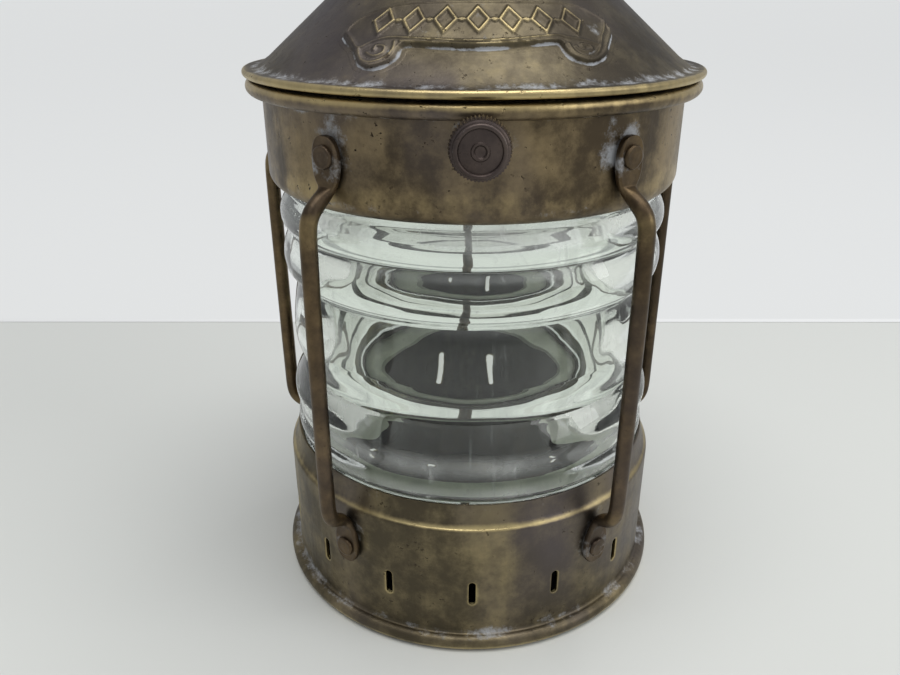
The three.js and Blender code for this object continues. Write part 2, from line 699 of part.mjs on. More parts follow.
function burner() {
  const top = FOUNT_TOP;
  const plugR = FOUNT_HOLE_R - GAP;
  const discZ = top + 4 + GAP;
  const roof = discZ + 9.5;
  let body = turned(
    [
      [plugR - 1, top + GAP],
      [plugR, top + GAP],
      [plugR, discZ],
      [BURNER_R, discZ],
      [BURNER_R, roof],
      [0, roof],
      [0, roof - 1],
      [BURNER_R - 1, roof - 1],
      [BURNER_R - 1, discZ + 1],
      [plugR - 1, discZ + 1],
    ],
    24,
  );
  const tubeW = WICK_W + 2 * GAP + 1.2;
  const tubeT = WICK_T + 2 * GAP + 1.2;
  const slot = new THREE.BoxGeometry(tubeW + 2 * GAP, tubeT + 2 * GAP, 6).translate(0, 0, roof);
  body = body.subtract(solid(slot));
  const axleY = WICK_T / 2 + GAP + STAR_R;
  const axleZ = discZ + 4.6;
  const bore = rod(SPINDLE_R + GAP, BURNER_R + 4, 12).rotateY(Math.PI / 2);
  bore.translate(BURNER_R / 2 + 2, axleY, axleZ);
  add("burner_body", body.subtract(solid(bore)), "brass");

  const tubeFoot = axleZ + STAR_R + GAP;
  const tubeTop = roof + 7;
  const tubeMid = (tubeFoot + tubeTop) / 2;
  const tube = new THREE.BoxGeometry(tubeW, tubeT, tubeTop - tubeFoot).translate(0, 0, tubeMid);
  const way = new THREE.BoxGeometry(WICK_W + 2 * GAP, WICK_T + 2 * GAP, 40).translate(0, 0, tubeMid);
  add("wick_tube", solid(tube).subtract(solid(way)), "brass");
  const wickTop = tubeTop + 1;
  const wickFoot = FOUNT_Z + 4;
  const wick = new THREE.BoxGeometry(WICK_W, WICK_T, wickTop - wickFoot);
  add("wick", solid(wick.translate(0, 0, (wickTop + wickFoot) / 2)), "cotton");

  spindle(axleY, axleZ);
  const spread = turned(
    [
      [BURNER_R - 2, roof + GAP],
      [BURNER_R - 1, roof + GAP],
      [BURNER_R - 1.6, roof + 5],
      [BURNER_R - 5, roof + 9],
      [0, roof + 10.5],
      [0, roof + 9.6],
      [BURNER_R - 5.4, roof + 8.2],
      [BURNER_R - 2.5, roof + 4.6],
    ],
    24,
  );
  const flameSlot = new THREE.BoxGeometry(WICK_W + 3, WICK_T + 3.6, 8).translate(0, 0, roof + 10);
  add("flame_spreader", spread.subtract(solid(flameSlot)), "brass");
}

// The spindle's two star wheels bite the wick's face, and its milled wheel stands outside the burner.
function spindle(axleY, axleZ) {
  const wheelX = 24;
  const shaft = rod(SPINDLE_R, wheelX + 9, 10).rotateY(Math.PI / 2).translate((wheelX - 9) / 2, 0, 0);
  let body = solid(shaft);
  const star = new THREE.Shape();
  for (let i = 0; i < 16; i++) {
    const angle = (Math.PI * i) / 8;
    const radius = i % 2 ? STAR_R : STAR_R - 0.9;
    star[i ? "lineTo" : "moveTo"](radius * Math.cos(angle), radius * Math.sin(angle));
  }
  star.closePath();
  for (const x of [-3.5, 2.5]) {
    body = body.add(solid(plate(star, 1).rotateY(Math.PI / 2).translate(x, 0, 0)));
  }
  const wheel = plate(circle(5.5, 20), 2).rotateY(Math.PI / 2).translate(wheelX - 2, 0, 0);
  body = body.add(solid(wheel));
  add("wick_spindle", body.translate([0, axleY, axleZ]), "brass");
}

// Spring clips stand on the floor round the fount and keep it central.
function fountClips() {
  const clipH = 12;
  for (let i = 0; i < CLIPS; i++) {
    const section = new THREE.Shape();
    const inner = FOUNT_R + GAP;
    section.moveTo(inner, FOUNT_Z);
    section.lineTo(inner + 8, FOUNT_Z);
    section.lineTo(inner + 8, FOUNT_Z + SHEET);
    section.lineTo(inner + SHEET, FOUNT_Z + SHEET);
    section.lineTo(inner + SHEET, FOUNT_Z + clipH - 2);
    section.lineTo(inner + 2.4, FOUNT_Z + clipH);
    section.lineTo(inner + 1.4, FOUNT_Z + clipH);
    section.lineTo(inner, FOUNT_Z + clipH - 2);
    section.closePath();
    const strip = plate(section, 7).translate(0, 0, -3.5).rotateX(Math.PI / 2);
    strip.rotateZ((2 * Math.PI * (i + 0.25)) / CLIPS);
    add("fount_clip_" + (i + 1), solid(strip), "brass");
  }
}

baseDrum();
glassSeat();
glass();
collar();
guard();
clampingScrew();
hoodCone();
scroll();
ventilator();
for (const [word, side] of [["left", -1], ["right", 1]]) {
  bailEar("bail_ear_" + word, side);
  earRivet("ear_rivet_" + word, side);
}
bail();
fount();
burner();
fountClips();

export default lantern;
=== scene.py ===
# %% [markdown]
# # A brass ship lantern
# The lantern stands on a vented brass drum. A ribbed glass rises from it inside five guard rods,
# a collar holds the glass down, and a cone-shaped hood with a ventilator and a bail closes the top.
# The engineering model is loaded first as a fixed frame, in metres, with its origin on the
# underside at the lantern's axis and the clamping screw facing -Y. Everything that is made here
# is placed by the sizes of that frame.

# %% Load the frame
import math
import bmesh
import bpy
from mathutils import Matrix, Vector, noise


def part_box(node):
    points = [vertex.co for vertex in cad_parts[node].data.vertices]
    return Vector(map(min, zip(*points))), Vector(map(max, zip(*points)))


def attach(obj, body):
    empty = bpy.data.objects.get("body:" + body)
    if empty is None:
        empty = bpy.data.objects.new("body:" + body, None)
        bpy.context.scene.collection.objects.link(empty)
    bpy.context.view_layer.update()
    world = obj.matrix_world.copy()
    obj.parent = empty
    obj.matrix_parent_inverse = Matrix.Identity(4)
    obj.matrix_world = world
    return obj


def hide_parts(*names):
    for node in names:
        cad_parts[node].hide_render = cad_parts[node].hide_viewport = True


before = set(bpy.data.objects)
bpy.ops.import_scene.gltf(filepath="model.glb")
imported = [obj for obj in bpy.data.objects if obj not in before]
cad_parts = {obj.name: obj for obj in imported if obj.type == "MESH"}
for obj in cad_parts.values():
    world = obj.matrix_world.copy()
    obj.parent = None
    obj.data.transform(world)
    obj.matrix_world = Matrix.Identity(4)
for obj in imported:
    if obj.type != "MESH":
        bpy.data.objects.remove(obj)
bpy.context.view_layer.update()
MM = 0.001

# %% [markdown]
# The camera stands a little above the hood's rim and looks down at the glass by about 24 degrees.
# Its matrix is built from three directions: right, up and backwards.

# %% Camera
CAMERA_PLACE = Vector((-6.51, -257.47, 197.04)) * MM
CAMERA_PITCH = 0.4258
CAMERA_YAW = -0.0022
CAMERA_ROLL = -0.0006
LENS = 31.4


def aim_camera():
    forward = Vector((
        math.sin(CAMERA_YAW) * math.cos(CAMERA_PITCH),
        math.cos(CAMERA_YAW) * math.cos(CAMERA_PITCH),
        -math.sin(CAMERA_PITCH),
    ))
    right = Vector((math.cos(CAMERA_YAW), -math.sin(CAMERA_YAW), 0))
    up = right.cross(forward)
    turn = Matrix((right, up, -forward)).transposed().to_4x4()
    camera = bpy.data.objects.new("camera", bpy.data.cameras.new("camera"))
    camera.data.lens = LENS
    camera.data.sensor_width = 36
    camera.data.clip_start = 0.01
    camera.matrix_world = Matrix.Translation(CAMERA_PLACE) @ turn @ Matrix.Rotation(CAMERA_ROLL, 4, "Z")
    bpy.context.collection.objects.link(camera)
    bpy.context.scene.camera = camera


aim_camera()
print("camera", round((CAMERA_PLACE / MM).length), "mm from the foot of the axis")

# %% [markdown]
# Shader maths is easier to read as Python expressions, so one small class wraps a node's output
# socket. Adding or multiplying two of them adds a Math node, and `node` makes any other node from
# its type, its settings and its inputs.

# %% A socket that does maths


class Tap:
    """One output socket of a material's node tree."""

    def __init__(self, tree, socket):
        self.tree = tree
        self.socket = socket

    def node(self, kind, settings=None, out=0, **inputs):
        made = self.tree.nodes.new("ShaderNode" + kind)
        for key, value in (settings or {}).items():
            setattr(made, key, value)
        for key, value in inputs.items():
            name = key.replace("_", " ")
            index = int(key[1:]) if key[0] == "i" and key[1:].isdigit() else name
            if isinstance(value, Tap):
                self.tree.links.new(value.socket, made.inputs[index])
            else:
                made.inputs[index].default_value = value
        return Tap(self.tree, made.outputs[out])

    def maths(self, operation, other=0.0, clamp=False):
        return self.node("Math", {"operation": operation, "use_clamp": clamp}, i0=self, i1=other)

    def __add__(self, other):
        return self.maths("ADD", other)

    def __mul__(self, other):
        return self.maths("MULTIPLY", other)

    def __sub__(self, other):
        return self.maths("SUBTRACT", other)

    def __rsub__(self, other):
        return self.node("Math", {"operation": "SUBTRACT"}, i0=other, i1=self)

    __radd__ = __add__
    __rmul__ = __mul__

    def above(self, low, high):
        """0 below low, 1 above high, smooth between."""
        settings = {"interpolation_type": "SMOOTHSTEP"}
        return self.node("MapRange", settings, From_Min=low, From_Max=high, Value=self)

    def tint(self, low, high):
        """A colour that goes from low to high as this value goes from 0 to 1."""
        settings = {"data_type": "RGBA", "clamp_factor": True}
        return self.node("Mix", settings, out=2, i0=self, i6=low, i7=high)


def rgb(red, green, blue):
    return (red, green, blue, 1.0)


def new_material(name):
    material = bpy.data.materials.new(name)
    material.use_nodes = True
    tree = material.node_tree
    shader = tree.nodes["Principled BSDF"]
    place = Tap(tree, tree.nodes.new("ShaderNodeTexCoord").outputs["Object"])
    return material, tree, shader, place


def feed(tree, shader, **values):
    """Sets constants on the shader's sockets and links what varies."""
    for key, value in values.items():
        socket = shader.inputs[key.replace("_", " ")]
        if isinstance(value, Tap):
            tree.links.new(value.socket, socket)
        else:
            socket.default_value = value


def speckle(place, scale, detail=3.0, roughness=0.55, squash=(1, 1, 1)):
    """A cloud pattern; scale is in cells for each metre, squash stretches it along an axis."""
    at = place.node("Mapping", {"vector_type": "POINT"}, Vector=place, Scale=squash)
    return place.node("TexNoise", {}, Vector=at, Scale=scale, Detail=detail, Roughness=roughness)


def painted(place, name):
    """A value stored on the mesh's own points."""
    return place.node("Attribute", {"attribute_name": name}, out=2)


print("shader helpers ready")

# %% [markdown]
# The brass has had years of sea air. Polished metal shows where hands and cloths reach it:
# on beads, edges and rims, and the same bright brass is painted on edges as highlights where the
# lamps would catch them. The rest is an olive-brown patina, mottled darker in patches and pitted,
# and a pale blue-grey bloom of lime sits in the corners and round the rivets. The pieces carry two
# painted values that say where: one on edges, for rubbed brass and painted highlights together, and
# `bloom` near joints. The patina is made as a metal whose colour and roughness change, which keeps
# its reflections alive.

# %% Brass finishes


ASH = rgb(0.115, 0.100, 0.108)
LIME = rgb(0.43, 0.45, 0.48)
TAR = rgb(0.03, 0.022, 0.016)


def mixed(factor, under, over):
    return factor.node("Mix", {"data_type": "RGBA"}, out=2, i0=factor, i6=under, i7=over)


def brass(name, dark, mid, bright, streak=(1, 1, 0.3), lime=1.0, ashy=0.6, pits=1.0, rough=0.3):
    material, tree, shader, place = new_material(name)
    broad = speckle(place, 30, 4, 0.6, streak)
    cloud = speckle(place, 80, 6, 0.7)
    drift = speckle(place, 17, 3, 0.5, (1, 1, 0.6))
    flecks = speckle(place, 260, 5, 0.75)
    grain = speckle(place, 1100, 2, 0.6)
    brushed = speckle(place, 500, 3, 0.6, (1, 1, 0.06))
    polish_and_highlight = painted(place, "polish_and_highlight")
    bloom = painted(place, "bloom")
    pit = speckle(place, 480, 3, 0.7).above(0.615, 0.67) * cloud.above(0.45, 0.6) * pits
    # Bright brass where the metal is rubbed and where a painted highlight sits on an edge.
    worn_and_highlit = polish_and_highlight * 1.25 + (broad - 0.5) * 0.9 + (cloud - 0.5) * 0.7 + (brushed - 0.5) * 0.25
    worn_and_highlit = worn_and_highlit.above(0.25, 1.05)
    patina = (broad * 0.5 + cloud * 0.5).above(0.40, 0.62).tint(dark, mid)
    patina = mixed(drift.above(0.45, 0.68) * ashy, patina, ASH)
    metal = mixed(worn_and_highlit, patina, bright)
    crust = (bloom * 1.5 + (cloud - 0.5) * 1.5 + (flecks - 0.5) * 1.6 - 0.55).above(0.0, 0.6)
    crust = crust * bloom.above(0.03, 0.3) * lime
    spotted = mixed(pit * 0.85, metal, TAR)
    colour = mixed(crust * 0.8, spotted, LIME)
    roughness = (1 - worn_and_highlit) * 0.14 + rough + crust * 0.3 + (brushed - 0.5) * 0.2 + (flecks - 0.5) * 0.12
    relief = grain * 0.15 + brushed * 0.25 + cloud * 0.6 + flecks * 0.25 - pit * 1.2 + crust * 0.7
    bump = relief.node("Bump", {}, Height=relief, Strength=0.3, Distance=0.0006)
    feed(
        tree,
        shader,
        Base_Color=colour,
        Metallic=1 - crust * 0.8,
        Roughness=roughness.maths("MAXIMUM", 0.12),
        Normal=bump,
    )
    return material


AGED = brass(
    "aged_brass",
    rgb(0.075, 0.057, 0.037),
    rgb(0.27, 0.205, 0.115),
    rgb(0.55, 0.43, 0.21),
    ashy=0.62,
    pits=1.3,
)
HOODED = brass(
    "hood_brass",
    rgb(0.058, 0.048, 0.035),
    rgb(0.135, 0.113, 0.074),
    rgb(0.50, 0.40, 0.20),
    ashy=0.6,
    rough=0.36,
)
BASE = brass(
    "base_brass",
    rgb(0.085, 0.070, 0.046),
    rgb(0.24, 0.195, 0.112),
    rgb(0.52, 0.42, 0.21),
    lime=0.9,
    ashy=0.7,
    streak=(1, 1, 0.15),
    pits=0.8,
)
GUARD = brass(
    "guard_brass",
    rgb(0.060, 0.044, 0.029),
    rgb(0.150, 0.105, 0.058),
    rgb(0.36, 0.27, 0.13),
    streak=(1, 1, 0.08),
    ashy=0.25,
    rough=0.3,
    pits=0.5,
)
SCREW = brass(
    "screw_brass",
    rgb(0.040, 0.030, 0.026),
    rgb(0.10, 0.075, 0.062),
    rgb(0.24, 0.19, 0.14),
    ashy=0.3,
    rough=0.34,
    pits=0.4,
)
SOOTED = brass(
    "sooted_brass",
    rgb(0.012, 0.010, 0.009),
    rgb(0.04, 0.032, 0.024),
    rgb(0.10, 0.08, 0.05),
    rough=0.5,
)
BURNER = brass(
    "burner_brass",
    rgb(0.03, 0.022, 0.014),
    rgb(0.085, 0.062, 0.034),
    rgb(0.2, 0.15, 0.08),
    rough=0.45,
)
# Painted light: the glass seat is given a pale, bright metal colour, so that through the glass it shows as
# the pale band that floor and backdrop light gives there.
PALE_SEAT_LIGHT = brass(
    "pale_seat_painted_light",
    rgb(0.58, 0.61, 0.52),
    rgb(0.78, 0.81, 0.70),
    rgb(0.80, 0.81, 0.70),
    lime=0.0,
    ashy=0.1,
    pits=0.4,
    rough=0.6,
)
print("brass finishes", 8)

# %% [markdown]
# The glass is thick, moulded and faintly green, with a film of dust. It is real refracting glass
# under a thin haze: a pale diffuse layer shows where dust lies thick, and on the lower rings it is
# a painted highlight that stands for their bright crest lines. Scratches and seeds break the
# surface. The green belongs to the thickness, so it is a light tint on the shader.

# %% Glass, cord and cotton


def lantern_glass():
    material, tree, shader, place = new_material("lantern_glass")
    film = speckle(place, 42, 5, 0.65, (1, 1, 0.5))
    dust = speckle(place, 380, 4, 0.7)
    streaks = speckle(place, 260, 3, 0.6, (1, 1, 0.08))
    settled_dust_and_highlight = painted(place, "dust")
    haze = settled_dust_and_highlight * (0.35 + film.above(0.35, 0.7) * 0.65) + film.above(0.5, 0.8) * 0.06
    haze = haze + streaks.above(0.62, 0.72) * film.above(0.42, 0.6) * 0.22
    haze = (haze + dust.above(0.70, 0.76) * 0.25 * film.above(0.5, 0.62)).maths("MINIMUM", 0.85)
    ripple = speckle(place, 55, 2, 0.5) * 0.8 + dust * 0.02
    bump = ripple.node("Bump", {}, Height=ripple, Strength=0.10, Distance=0.0012)
    feed(
        tree,
        shader,
        Base_Color=rgb(0.93, 0.968, 0.915),
        Transmission_Weight=1.0,
        IOR=1.5,
        Roughness=0.0,
        Normal=bump,
    )
    powder = tree.nodes.new("ShaderNodeBsdfPrincipled")
    feed(tree, powder, Base_Color=rgb(0.80, 0.825, 0.80), Roughness=0.7)
    blend = tree.nodes.new("ShaderNodeMixShader")
    tree.links.new(haze.socket, blend.inputs[0])
    tree.links.new(shader.outputs[0], blend.inputs[1])
    tree.links.new(powder.outputs[0], blend.inputs[2])
    tree.links.new(blend.outputs[0], tree.nodes["Material Output"].inputs[0])
    return material


def fibre(name, low, high, scale):
    material, tree, shader, place = new_material(name)
    weave = speckle(place, scale, 3, 0.6, (1, 1, 3))
    bump = weave.node("Bump", {}, Height=weave, Strength=0.5, Distance=0.0006)
    feed(tree, shader, Base_Color=weave.above(0.35, 0.7).tint(low, high), Roughness=0.9, Normal=bump)
    return material


GLASS = lantern_glass()
PACKING = fibre("packing_cord", rgb(0.03, 0.028, 0.024), rgb(0.10, 0.09, 0.07), 700)
COTTON = fibre("wick_cotton", rgb(0.30, 0.26, 0.20), rgb(0.72, 0.68, 0.58), 1500)
print("glass, cord and cotton ready")

# %% [markdown]
# Most of the lantern is turned work, so the main tool is a profile spun round the axis. The
# profile is a list of [radius, height] points in millimetres, with arcs where the metal is rolled.
# A spin with `use_merge` closes the ring, and the normals are recalculated once at the end.

# %% Turning tools
STEPS = 180
BODY = "lantern_body"


def arc(radius, height, size, start, stop, steps=8):
    """Points of an arc in a profile, angles in degrees."""
    angles = [math.radians(start + (stop - start) * i / steps) for i in range(steps + 1)]
    return [(radius + size * math.cos(a), height + size * math.sin(a)) for a in angles]


def between(a, b, c, d, t):
    """A smooth way from b to c, led by the points before and after them."""
    return 0.5 * (2 * b + (c - a) * t + (2 * a - 5 * b + 4 * c - d) * t * t + (3 * b - a - 3 * c + d) * t**3)


def flowing(points, steps=4):
    """A smooth line through a few points."""
    ends = [points[0], *points, points[-1]]
    line = []
    for before, start, stop, after in zip(ends, ends[1:], ends[2:], ends[3:]):
        for i in range(steps):
            line.append(tuple(between(*four, i / steps) for four in zip(before, start, stop, after)))
    return [*line, points[-1]]


def spun(profile, steps=STEPS, closed=True):
    """A bmesh of the profile turned once round Z."""
    bm = bmesh.new()
    verts = [bm.verts.new((radius * MM, 0, height * MM)) for radius, height in profile]
    pairs = list(zip(verts, verts[1:])) + ([(verts[-1], verts[0])] if closed else [])
    edges = [bm.edges.new(pair) for pair in pairs]
    bmesh.ops.spin(
        bm,
        geom=verts + edges,
        cent=(0, 0, 0),
        axis=(0, 0, 1),
        angle=math.tau,
        steps=steps,
        use_merge=True,
    )
    return bm


def shelf(bm, name):
    layer = bm.verts.layers.float.get(name)
    return layer or bm.verts.layers.float.new(name)


def paint(bm, name, value):
    """Stores value(point) on every vertex; the point is in millimetres."""
    layer = shelf(bm, name)
    for vert in bm.verts:
        vert[layer] = min(max(value(vert.co / MM), 0.0), 1.0)


def weather(bm, polish_and_highlight, bloom):
    """Paints where brass is rubbed bright and where it carries a painted highlight, and where lime has
    settled on it.
    """
    paint(bm, "polish_and_highlight", polish_and_highlight)
    paint(bm, "bloom", bloom)


def pull_out(bm):
    """Extrudes every face of a flat shape and returns the new points."""
    made = bmesh.ops.extrude_face_region(bm, geom=bm.faces[:])["geom"]
    return [item for item in made if isinstance(item, bmesh.types.BMVert)]


def turn_all(bm, angle, axis):
    matrix = Matrix.Rotation(angle, 3, axis)
    bmesh.ops.rotate(bm, verts=bm.verts[:], cent=(0, 0, 0), matrix=matrix)


def shift_all(bm, x, y, z):
    bmesh.ops.translate(bm, verts=bm.verts[:], vec=Vector((x, y, z)) * MM)


def finish_piece(bm, name, body, material, nodes=(), crease=35):
    """Turns a bmesh into a finished piece that rides on a body."""
    bmesh.ops.remove_doubles(bm, verts=bm.verts[:], dist=1e-7)
    bmesh.ops.recalc_face_normals(bm, faces=bm.faces[:])
    for face in bm.faces:
        face.smooth = True
    mesh = bpy.data.meshes.new(name)
    bm.to_mesh(mesh)
    bm.free()
    mesh.set_sharp_from_angle(angle=math.radians(crease))
    mesh.materials.append(material)
    piece = bpy.data.objects.new(name, mesh)
    bpy.context.collection.objects.link(piece)
    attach(piece, body)
    if nodes:
        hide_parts(*nodes)
    return piece


def reach(point):
    return math.hypot(point.x, point.y)


def bump_at(value, centre, width):
    """1 at the centre, falling smoothly to 0 one width away."""
    return max(0.0, 1 - ((value - centre) / width) ** 2) ** 2


def step(value, edge, soft):
    """0 below the edge and 1 above it, with a smooth slope between."""
    t = min(max((value - edge) / soft + 0.5, 0.0), 1.0)
    return t * t * (3 - 2 * t)


def size_of(node):
    """A node's lowest and highest corner in millimetres."""
    low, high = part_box(node)
    return Vector(low) / MM, Vector(high) / MM


print("turning tools ready")

# %% [markdown]
# The heights that the pieces share come from the frame's boxes; the drum's, collar's and flange's radii are
# given as numbers.

# %% Sizes from the frame
drum_high = size_of("base_drum")[1]
glass_low, glass_high = size_of("glass_lens")
collar_low, collar_high = size_of("collar")
cone_low = size_of("hood_cone")[0]
seat_low, seat_high = size_of("glass_seat")
retainer_low, retainer_high = size_of("glass_retainer")
skirt_low, skirt_high = size_of("hood_skirt")
screw_low, screw_high = size_of("clamping_screw")
SHEET = 0.9
FOOT_R = 69.07
DRUM_R = FOOT_R - 3.57
COLLAR_R = DRUM_R - 0.8
LIP_Z = drum_high.z
SHOULDER_Z = LIP_Z - 7
COLLAR_Z = collar_low.z
BEAD_Z = collar_high.z - 2.25
FLANGE_R = COLLAR_R + 5.3
FLANGE_Z = cone_low.z
SCREW_Z = (screw_low.z + screw_high.z) / 2
UPPER_RIVET_Z = sum(c.z for c in size_of("collar_rivet_1")) / 2
LOWER_RIVET_Z = sum(c.z for c in size_of("base_rivet_1")) / 2
ROD_TURNS = [math.radians(72 * (i + 0.5)) for i in range(5)]
print("collar from", round(COLLAR_Z, 2), "to", round(BEAD_Z, 2), "flange at", round(FLANGE_Z, 2))


def from_front(point):
    """Angle round the axis from the front, positive towards +X."""
    return math.atan2(point.x, -point.y)


def near_rod(point, height, wide, tall):
    """How close a point of a wall is to one of the guard's rivets, from 0 to 1."""
    best = 0.0
    for turn in ROD_TURNS:
        apart = (from_front(point) - turn + math.pi) % math.tau - math.pi
        across = apart * reach(point)
        best = max(best, 1 - math.hypot(across / wide, (point.z - height) / tall))
    return max(best, 0.0)


# %% [markdown]
# The base drum is rolled sheet with 15 upright vents punched in it. One 24 degree panel is
# modelled flat: the vent's outline is bridged to a frame round it, the panel is given its
# thickness, and then it is bent to the drum's radius and repeated round the axis. The foot bead
# and the sloping shoulder are turned, and share the panel's top and bottom edges.

# %% Base drum
VENTS = 15
VENT_Z = 21.0
VENT_W = 2.3
VENT_H = 8.8
PANEL_LOW = 15.0
PANEL_HIGH = 27.0


def vent_outline(count, width, height):
    """Points round an upright slot with round ends, starting at the bottom, anticlockwise."""
    r = width / 2
    straight = height - width
    length = math.pi * r * 2 + 2 * straight
    points = []
    for i in range(count):
        s = (i / count) * length
        quarter = math.pi * r / 2
        if s < quarter:
            a = -math.pi / 2 + s / r
            points.append((r * math.cos(a), -straight / 2 + r * math.sin(a)))
        elif s < quarter + straight:
            points.append((r, -straight / 2 + s - quarter))
        elif s < 3 * quarter + straight:
            a = (s - quarter - straight) / r
            points.append((r * math.cos(a), straight / 2 + r * math.sin(a)))
        elif s < 3 * quarter + 2 * straight:
            points.append((-r, straight / 2 - (s - 3 * quarter - straight)))
        else:
            a = math.pi + (s - 3 * quarter - 2 * straight) / r
            points.append((r * math.cos(a), -straight / 2 + r * math.sin(a)))
    return points


def loop_of(bm, points):
    verts = [bm.verts.new((x * MM, 0, z * MM)) for x, z in points]
    return [bm.edges.new((a, b)) for a, b in zip(verts, verts[1:] + verts[:1])]


def panel_frame(width, low, high, across, up):
    """Points round the panel's edge, starting at the middle of the bottom."""
    xs = [width * (i / across - 0.5) for i in range(across + 1)]
    zs = [low + (high - low) * i / up for i in range(up + 1)]
    ring = [(x, low) for x in xs] + [(width / 2, z) for z in zs[1:]]
    ring += [(x, high) for x in reversed(xs[:-1])] + [(-width / 2, z) for z in reversed(zs[1:-1])]
    half = across // 2
    return ring[half:] + ring[:half]


def vented_wall(radius, low, high, sheet, holes, wide, tall, middle):
    """A band with holes: one panel, bent and repeated round the axis."""
    bm = bmesh.new()
    frame_points = panel_frame(math.tau * radius / holes, low, high, 12, 6)
    loops = []
    for more_wide, more_tall in ((0, 0), (0.7, 0.7), (min(3.5, high - low - tall - 1), 1.6)):
        outline = vent_outline(len(frame_points), wide + more_wide, tall + more_tall)
        loops.append(loop_of(bm, [(x, z + middle) for x, z in outline]))
    loops.append(loop_of(bm, frame_points))
    for inner, outer in zip(loops, loops[1:]):
        bmesh.ops.bridge_loops(bm, edges=inner + outer)
    lip = [edge.verts[0] for edge in loops[0]] + [edge.verts[1] for edge in loops[0]]
    for vert in set(lip):
        vert.co.y = 0.22 * MM
    back = bmesh.ops.extrude_edge_only(bm, edges=loops[0])["geom"]
    for vert in [v for v in back if isinstance(v, bmesh.types.BMVert)]:
        vert.co.y = sheet * MM
    for vert in bm.verts:
        angle = vert.co.x / (radius * MM)
        depth = radius * MM - vert.co.y
        vert.co = Vector((depth * math.sin(angle), -depth * math.cos(angle), vert.co.z))
    bmesh.ops.spin(
        bm,
        geom=bm.verts[:] + bm.edges[:] + bm.faces[:],
        cent=(0, 0, 0),
        axis=(0, 0, 1),
        angle=math.tau * (holes - 1) / holes,
        steps=holes - 1,
        use_duplicate=True,
    )
    return bm


def lined_wall(radius, low, high, *holes):
    """The band's outside and its lining, one sheet apart."""
    return [
        vented_wall(radius, low, high, SHEET, *holes),
        vented_wall(radius - SHEET, low, high, 0.02, *holes),
    ]


def joined(*parts):
    """One bmesh from several."""
    whole = bmesh.new()
    for part in parts:
        scrap = bpy.data.meshes.new("scrap")
        part.to_mesh(scrap)
        part.free()
        whole.from_mesh(scrap)
        bpy.data.meshes.remove(scrap)
    return whole


def turned_from_front(profile, steps=STEPS, closed=False):
    """Spun with its first line at the middle of the front, so that its points meet the panel's."""
    bm = spun(profile, steps, closed)
    turn_all(bm, -math.pi / 2, "Z")
    return bm


def base_drum():
    bead_r = FOOT_R - 2.5
    foot = [
        (DRUM_R - SHEET, 0.4),
        (bead_r - 1.2, 0.15),
        *arc(bead_r, 2.5, 2.5, -100, 100, 18),
        (DRUM_R + 0.25, 5.35),
        (DRUM_R, 6.2),
        (DRUM_R, 10.5),
        (DRUM_R, PANEL_LOW),
    ]
    top = [
        (DRUM_R, PANEL_HIGH),
        (DRUM_R, 33),
        (DRUM_R, 39),
        (DRUM_R, SHOULDER_Z - 2.2),
        *arc(DRUM_R - 1.6, SHOULDER_Z - 1.6, 1.6, 0, 62, 6),
        (DRUM_R - 1.7, SHOULDER_Z + 1.6),
        (DRUM_R - 2.3, SHOULDER_Z + 3.9),
        (DRUM_R - 2.75, LIP_Z - 0.5),
        (DRUM_R - 3.0, LIP_Z),
        (DRUM_R - 3.6, LIP_Z),
        (DRUM_R - 3.8, LIP_Z - 0.4),
        (DRUM_R - 2.5 - SHEET, SHOULDER_Z),
        (DRUM_R - SHEET, SHOULDER_Z - 2.4),
        (DRUM_R - SHEET, PANEL_HIGH),
    ]
    band = lined_wall(DRUM_R, PANEL_LOW, PANEL_HIGH, VENTS, VENT_W, VENT_H, VENT_Z)
    low_lining = turned_from_front([(DRUM_R - SHEET, PANEL_LOW), (DRUM_R - SHEET, 0.4)])
    bm = joined(*band, low_lining, turned_from_front(foot), turned_from_front(top))
    bmesh.ops.remove_doubles(bm, verts=bm.verts[:], dist=2e-5)
    weather(bm, drum_polish_and_highlight, drum_bloom)
    return finish_piece(bm, "drum", BODY, BASE, ["base_drum"], crease=50)


def drum_polish_and_highlight(p):
    # Painted highlight: the shoulder's bright line is strongest at the front, and the foot bead's lower edge
    # gets a painted glint.
    front = 0.45 + 0.55 * bump_at(from_front(p), -0.05, 0.8)
    edge = bump_at(p.z, SHOULDER_Z - 0.2, 0.9) * front
    foot = bump_at(p.z, 1.3, 1.6) * 0.6 * (reach(p) > DRUM_R + 2)
    rim = 0.0
    if PANEL_LOW < p.z < PANEL_HIGH:
        apart = (from_front(p) * VENTS / math.tau + 0.5) % 1 - 0.5
        across = apart * math.tau * DRUM_R / VENTS
        upright = max(abs(p.z - VENT_Z) - (VENT_H - VENT_W) / 2, 0)
        rim = bump_at(math.hypot(across, upright), VENT_W / 2 + 0.1, 0.45) * 1.2
    above = 0.14 * (p.z > SHOULDER_Z + 1)
    return 0.2 - above + max(edge * 0.62, foot * 0.7, rim * 0.42)


def drum_bloom(p):
    patchy = 0.7 + 0.7 * noise.noise(p * 0.13)
    around_tab = near_rod(p, LOWER_RIVET_Z + 3, 12, 16) * patchy
    shoulder = bump_at(p.z, LIP_Z - 1.5, 3.5) * 0.3 * patchy
    foot = bump_at(p.z, 5.6, 2.6) * 0.45 * (0.35 + patchy)
    return max(around_tab, shoulder, foot)


drum = base_drum()
print("drum faces", len(drum.data.polygons))

# %% [markdown]
# The glass is moulded in one piece: two rounded rings above, a wide belt that bulges, and two
# rings below. Its outside is a smooth line through a few points, measured from the glass's neck
# and along its height. The bore was never quite even, so it is rippled by a gentle noise, and
# that is what bends the far side into wavy lines.

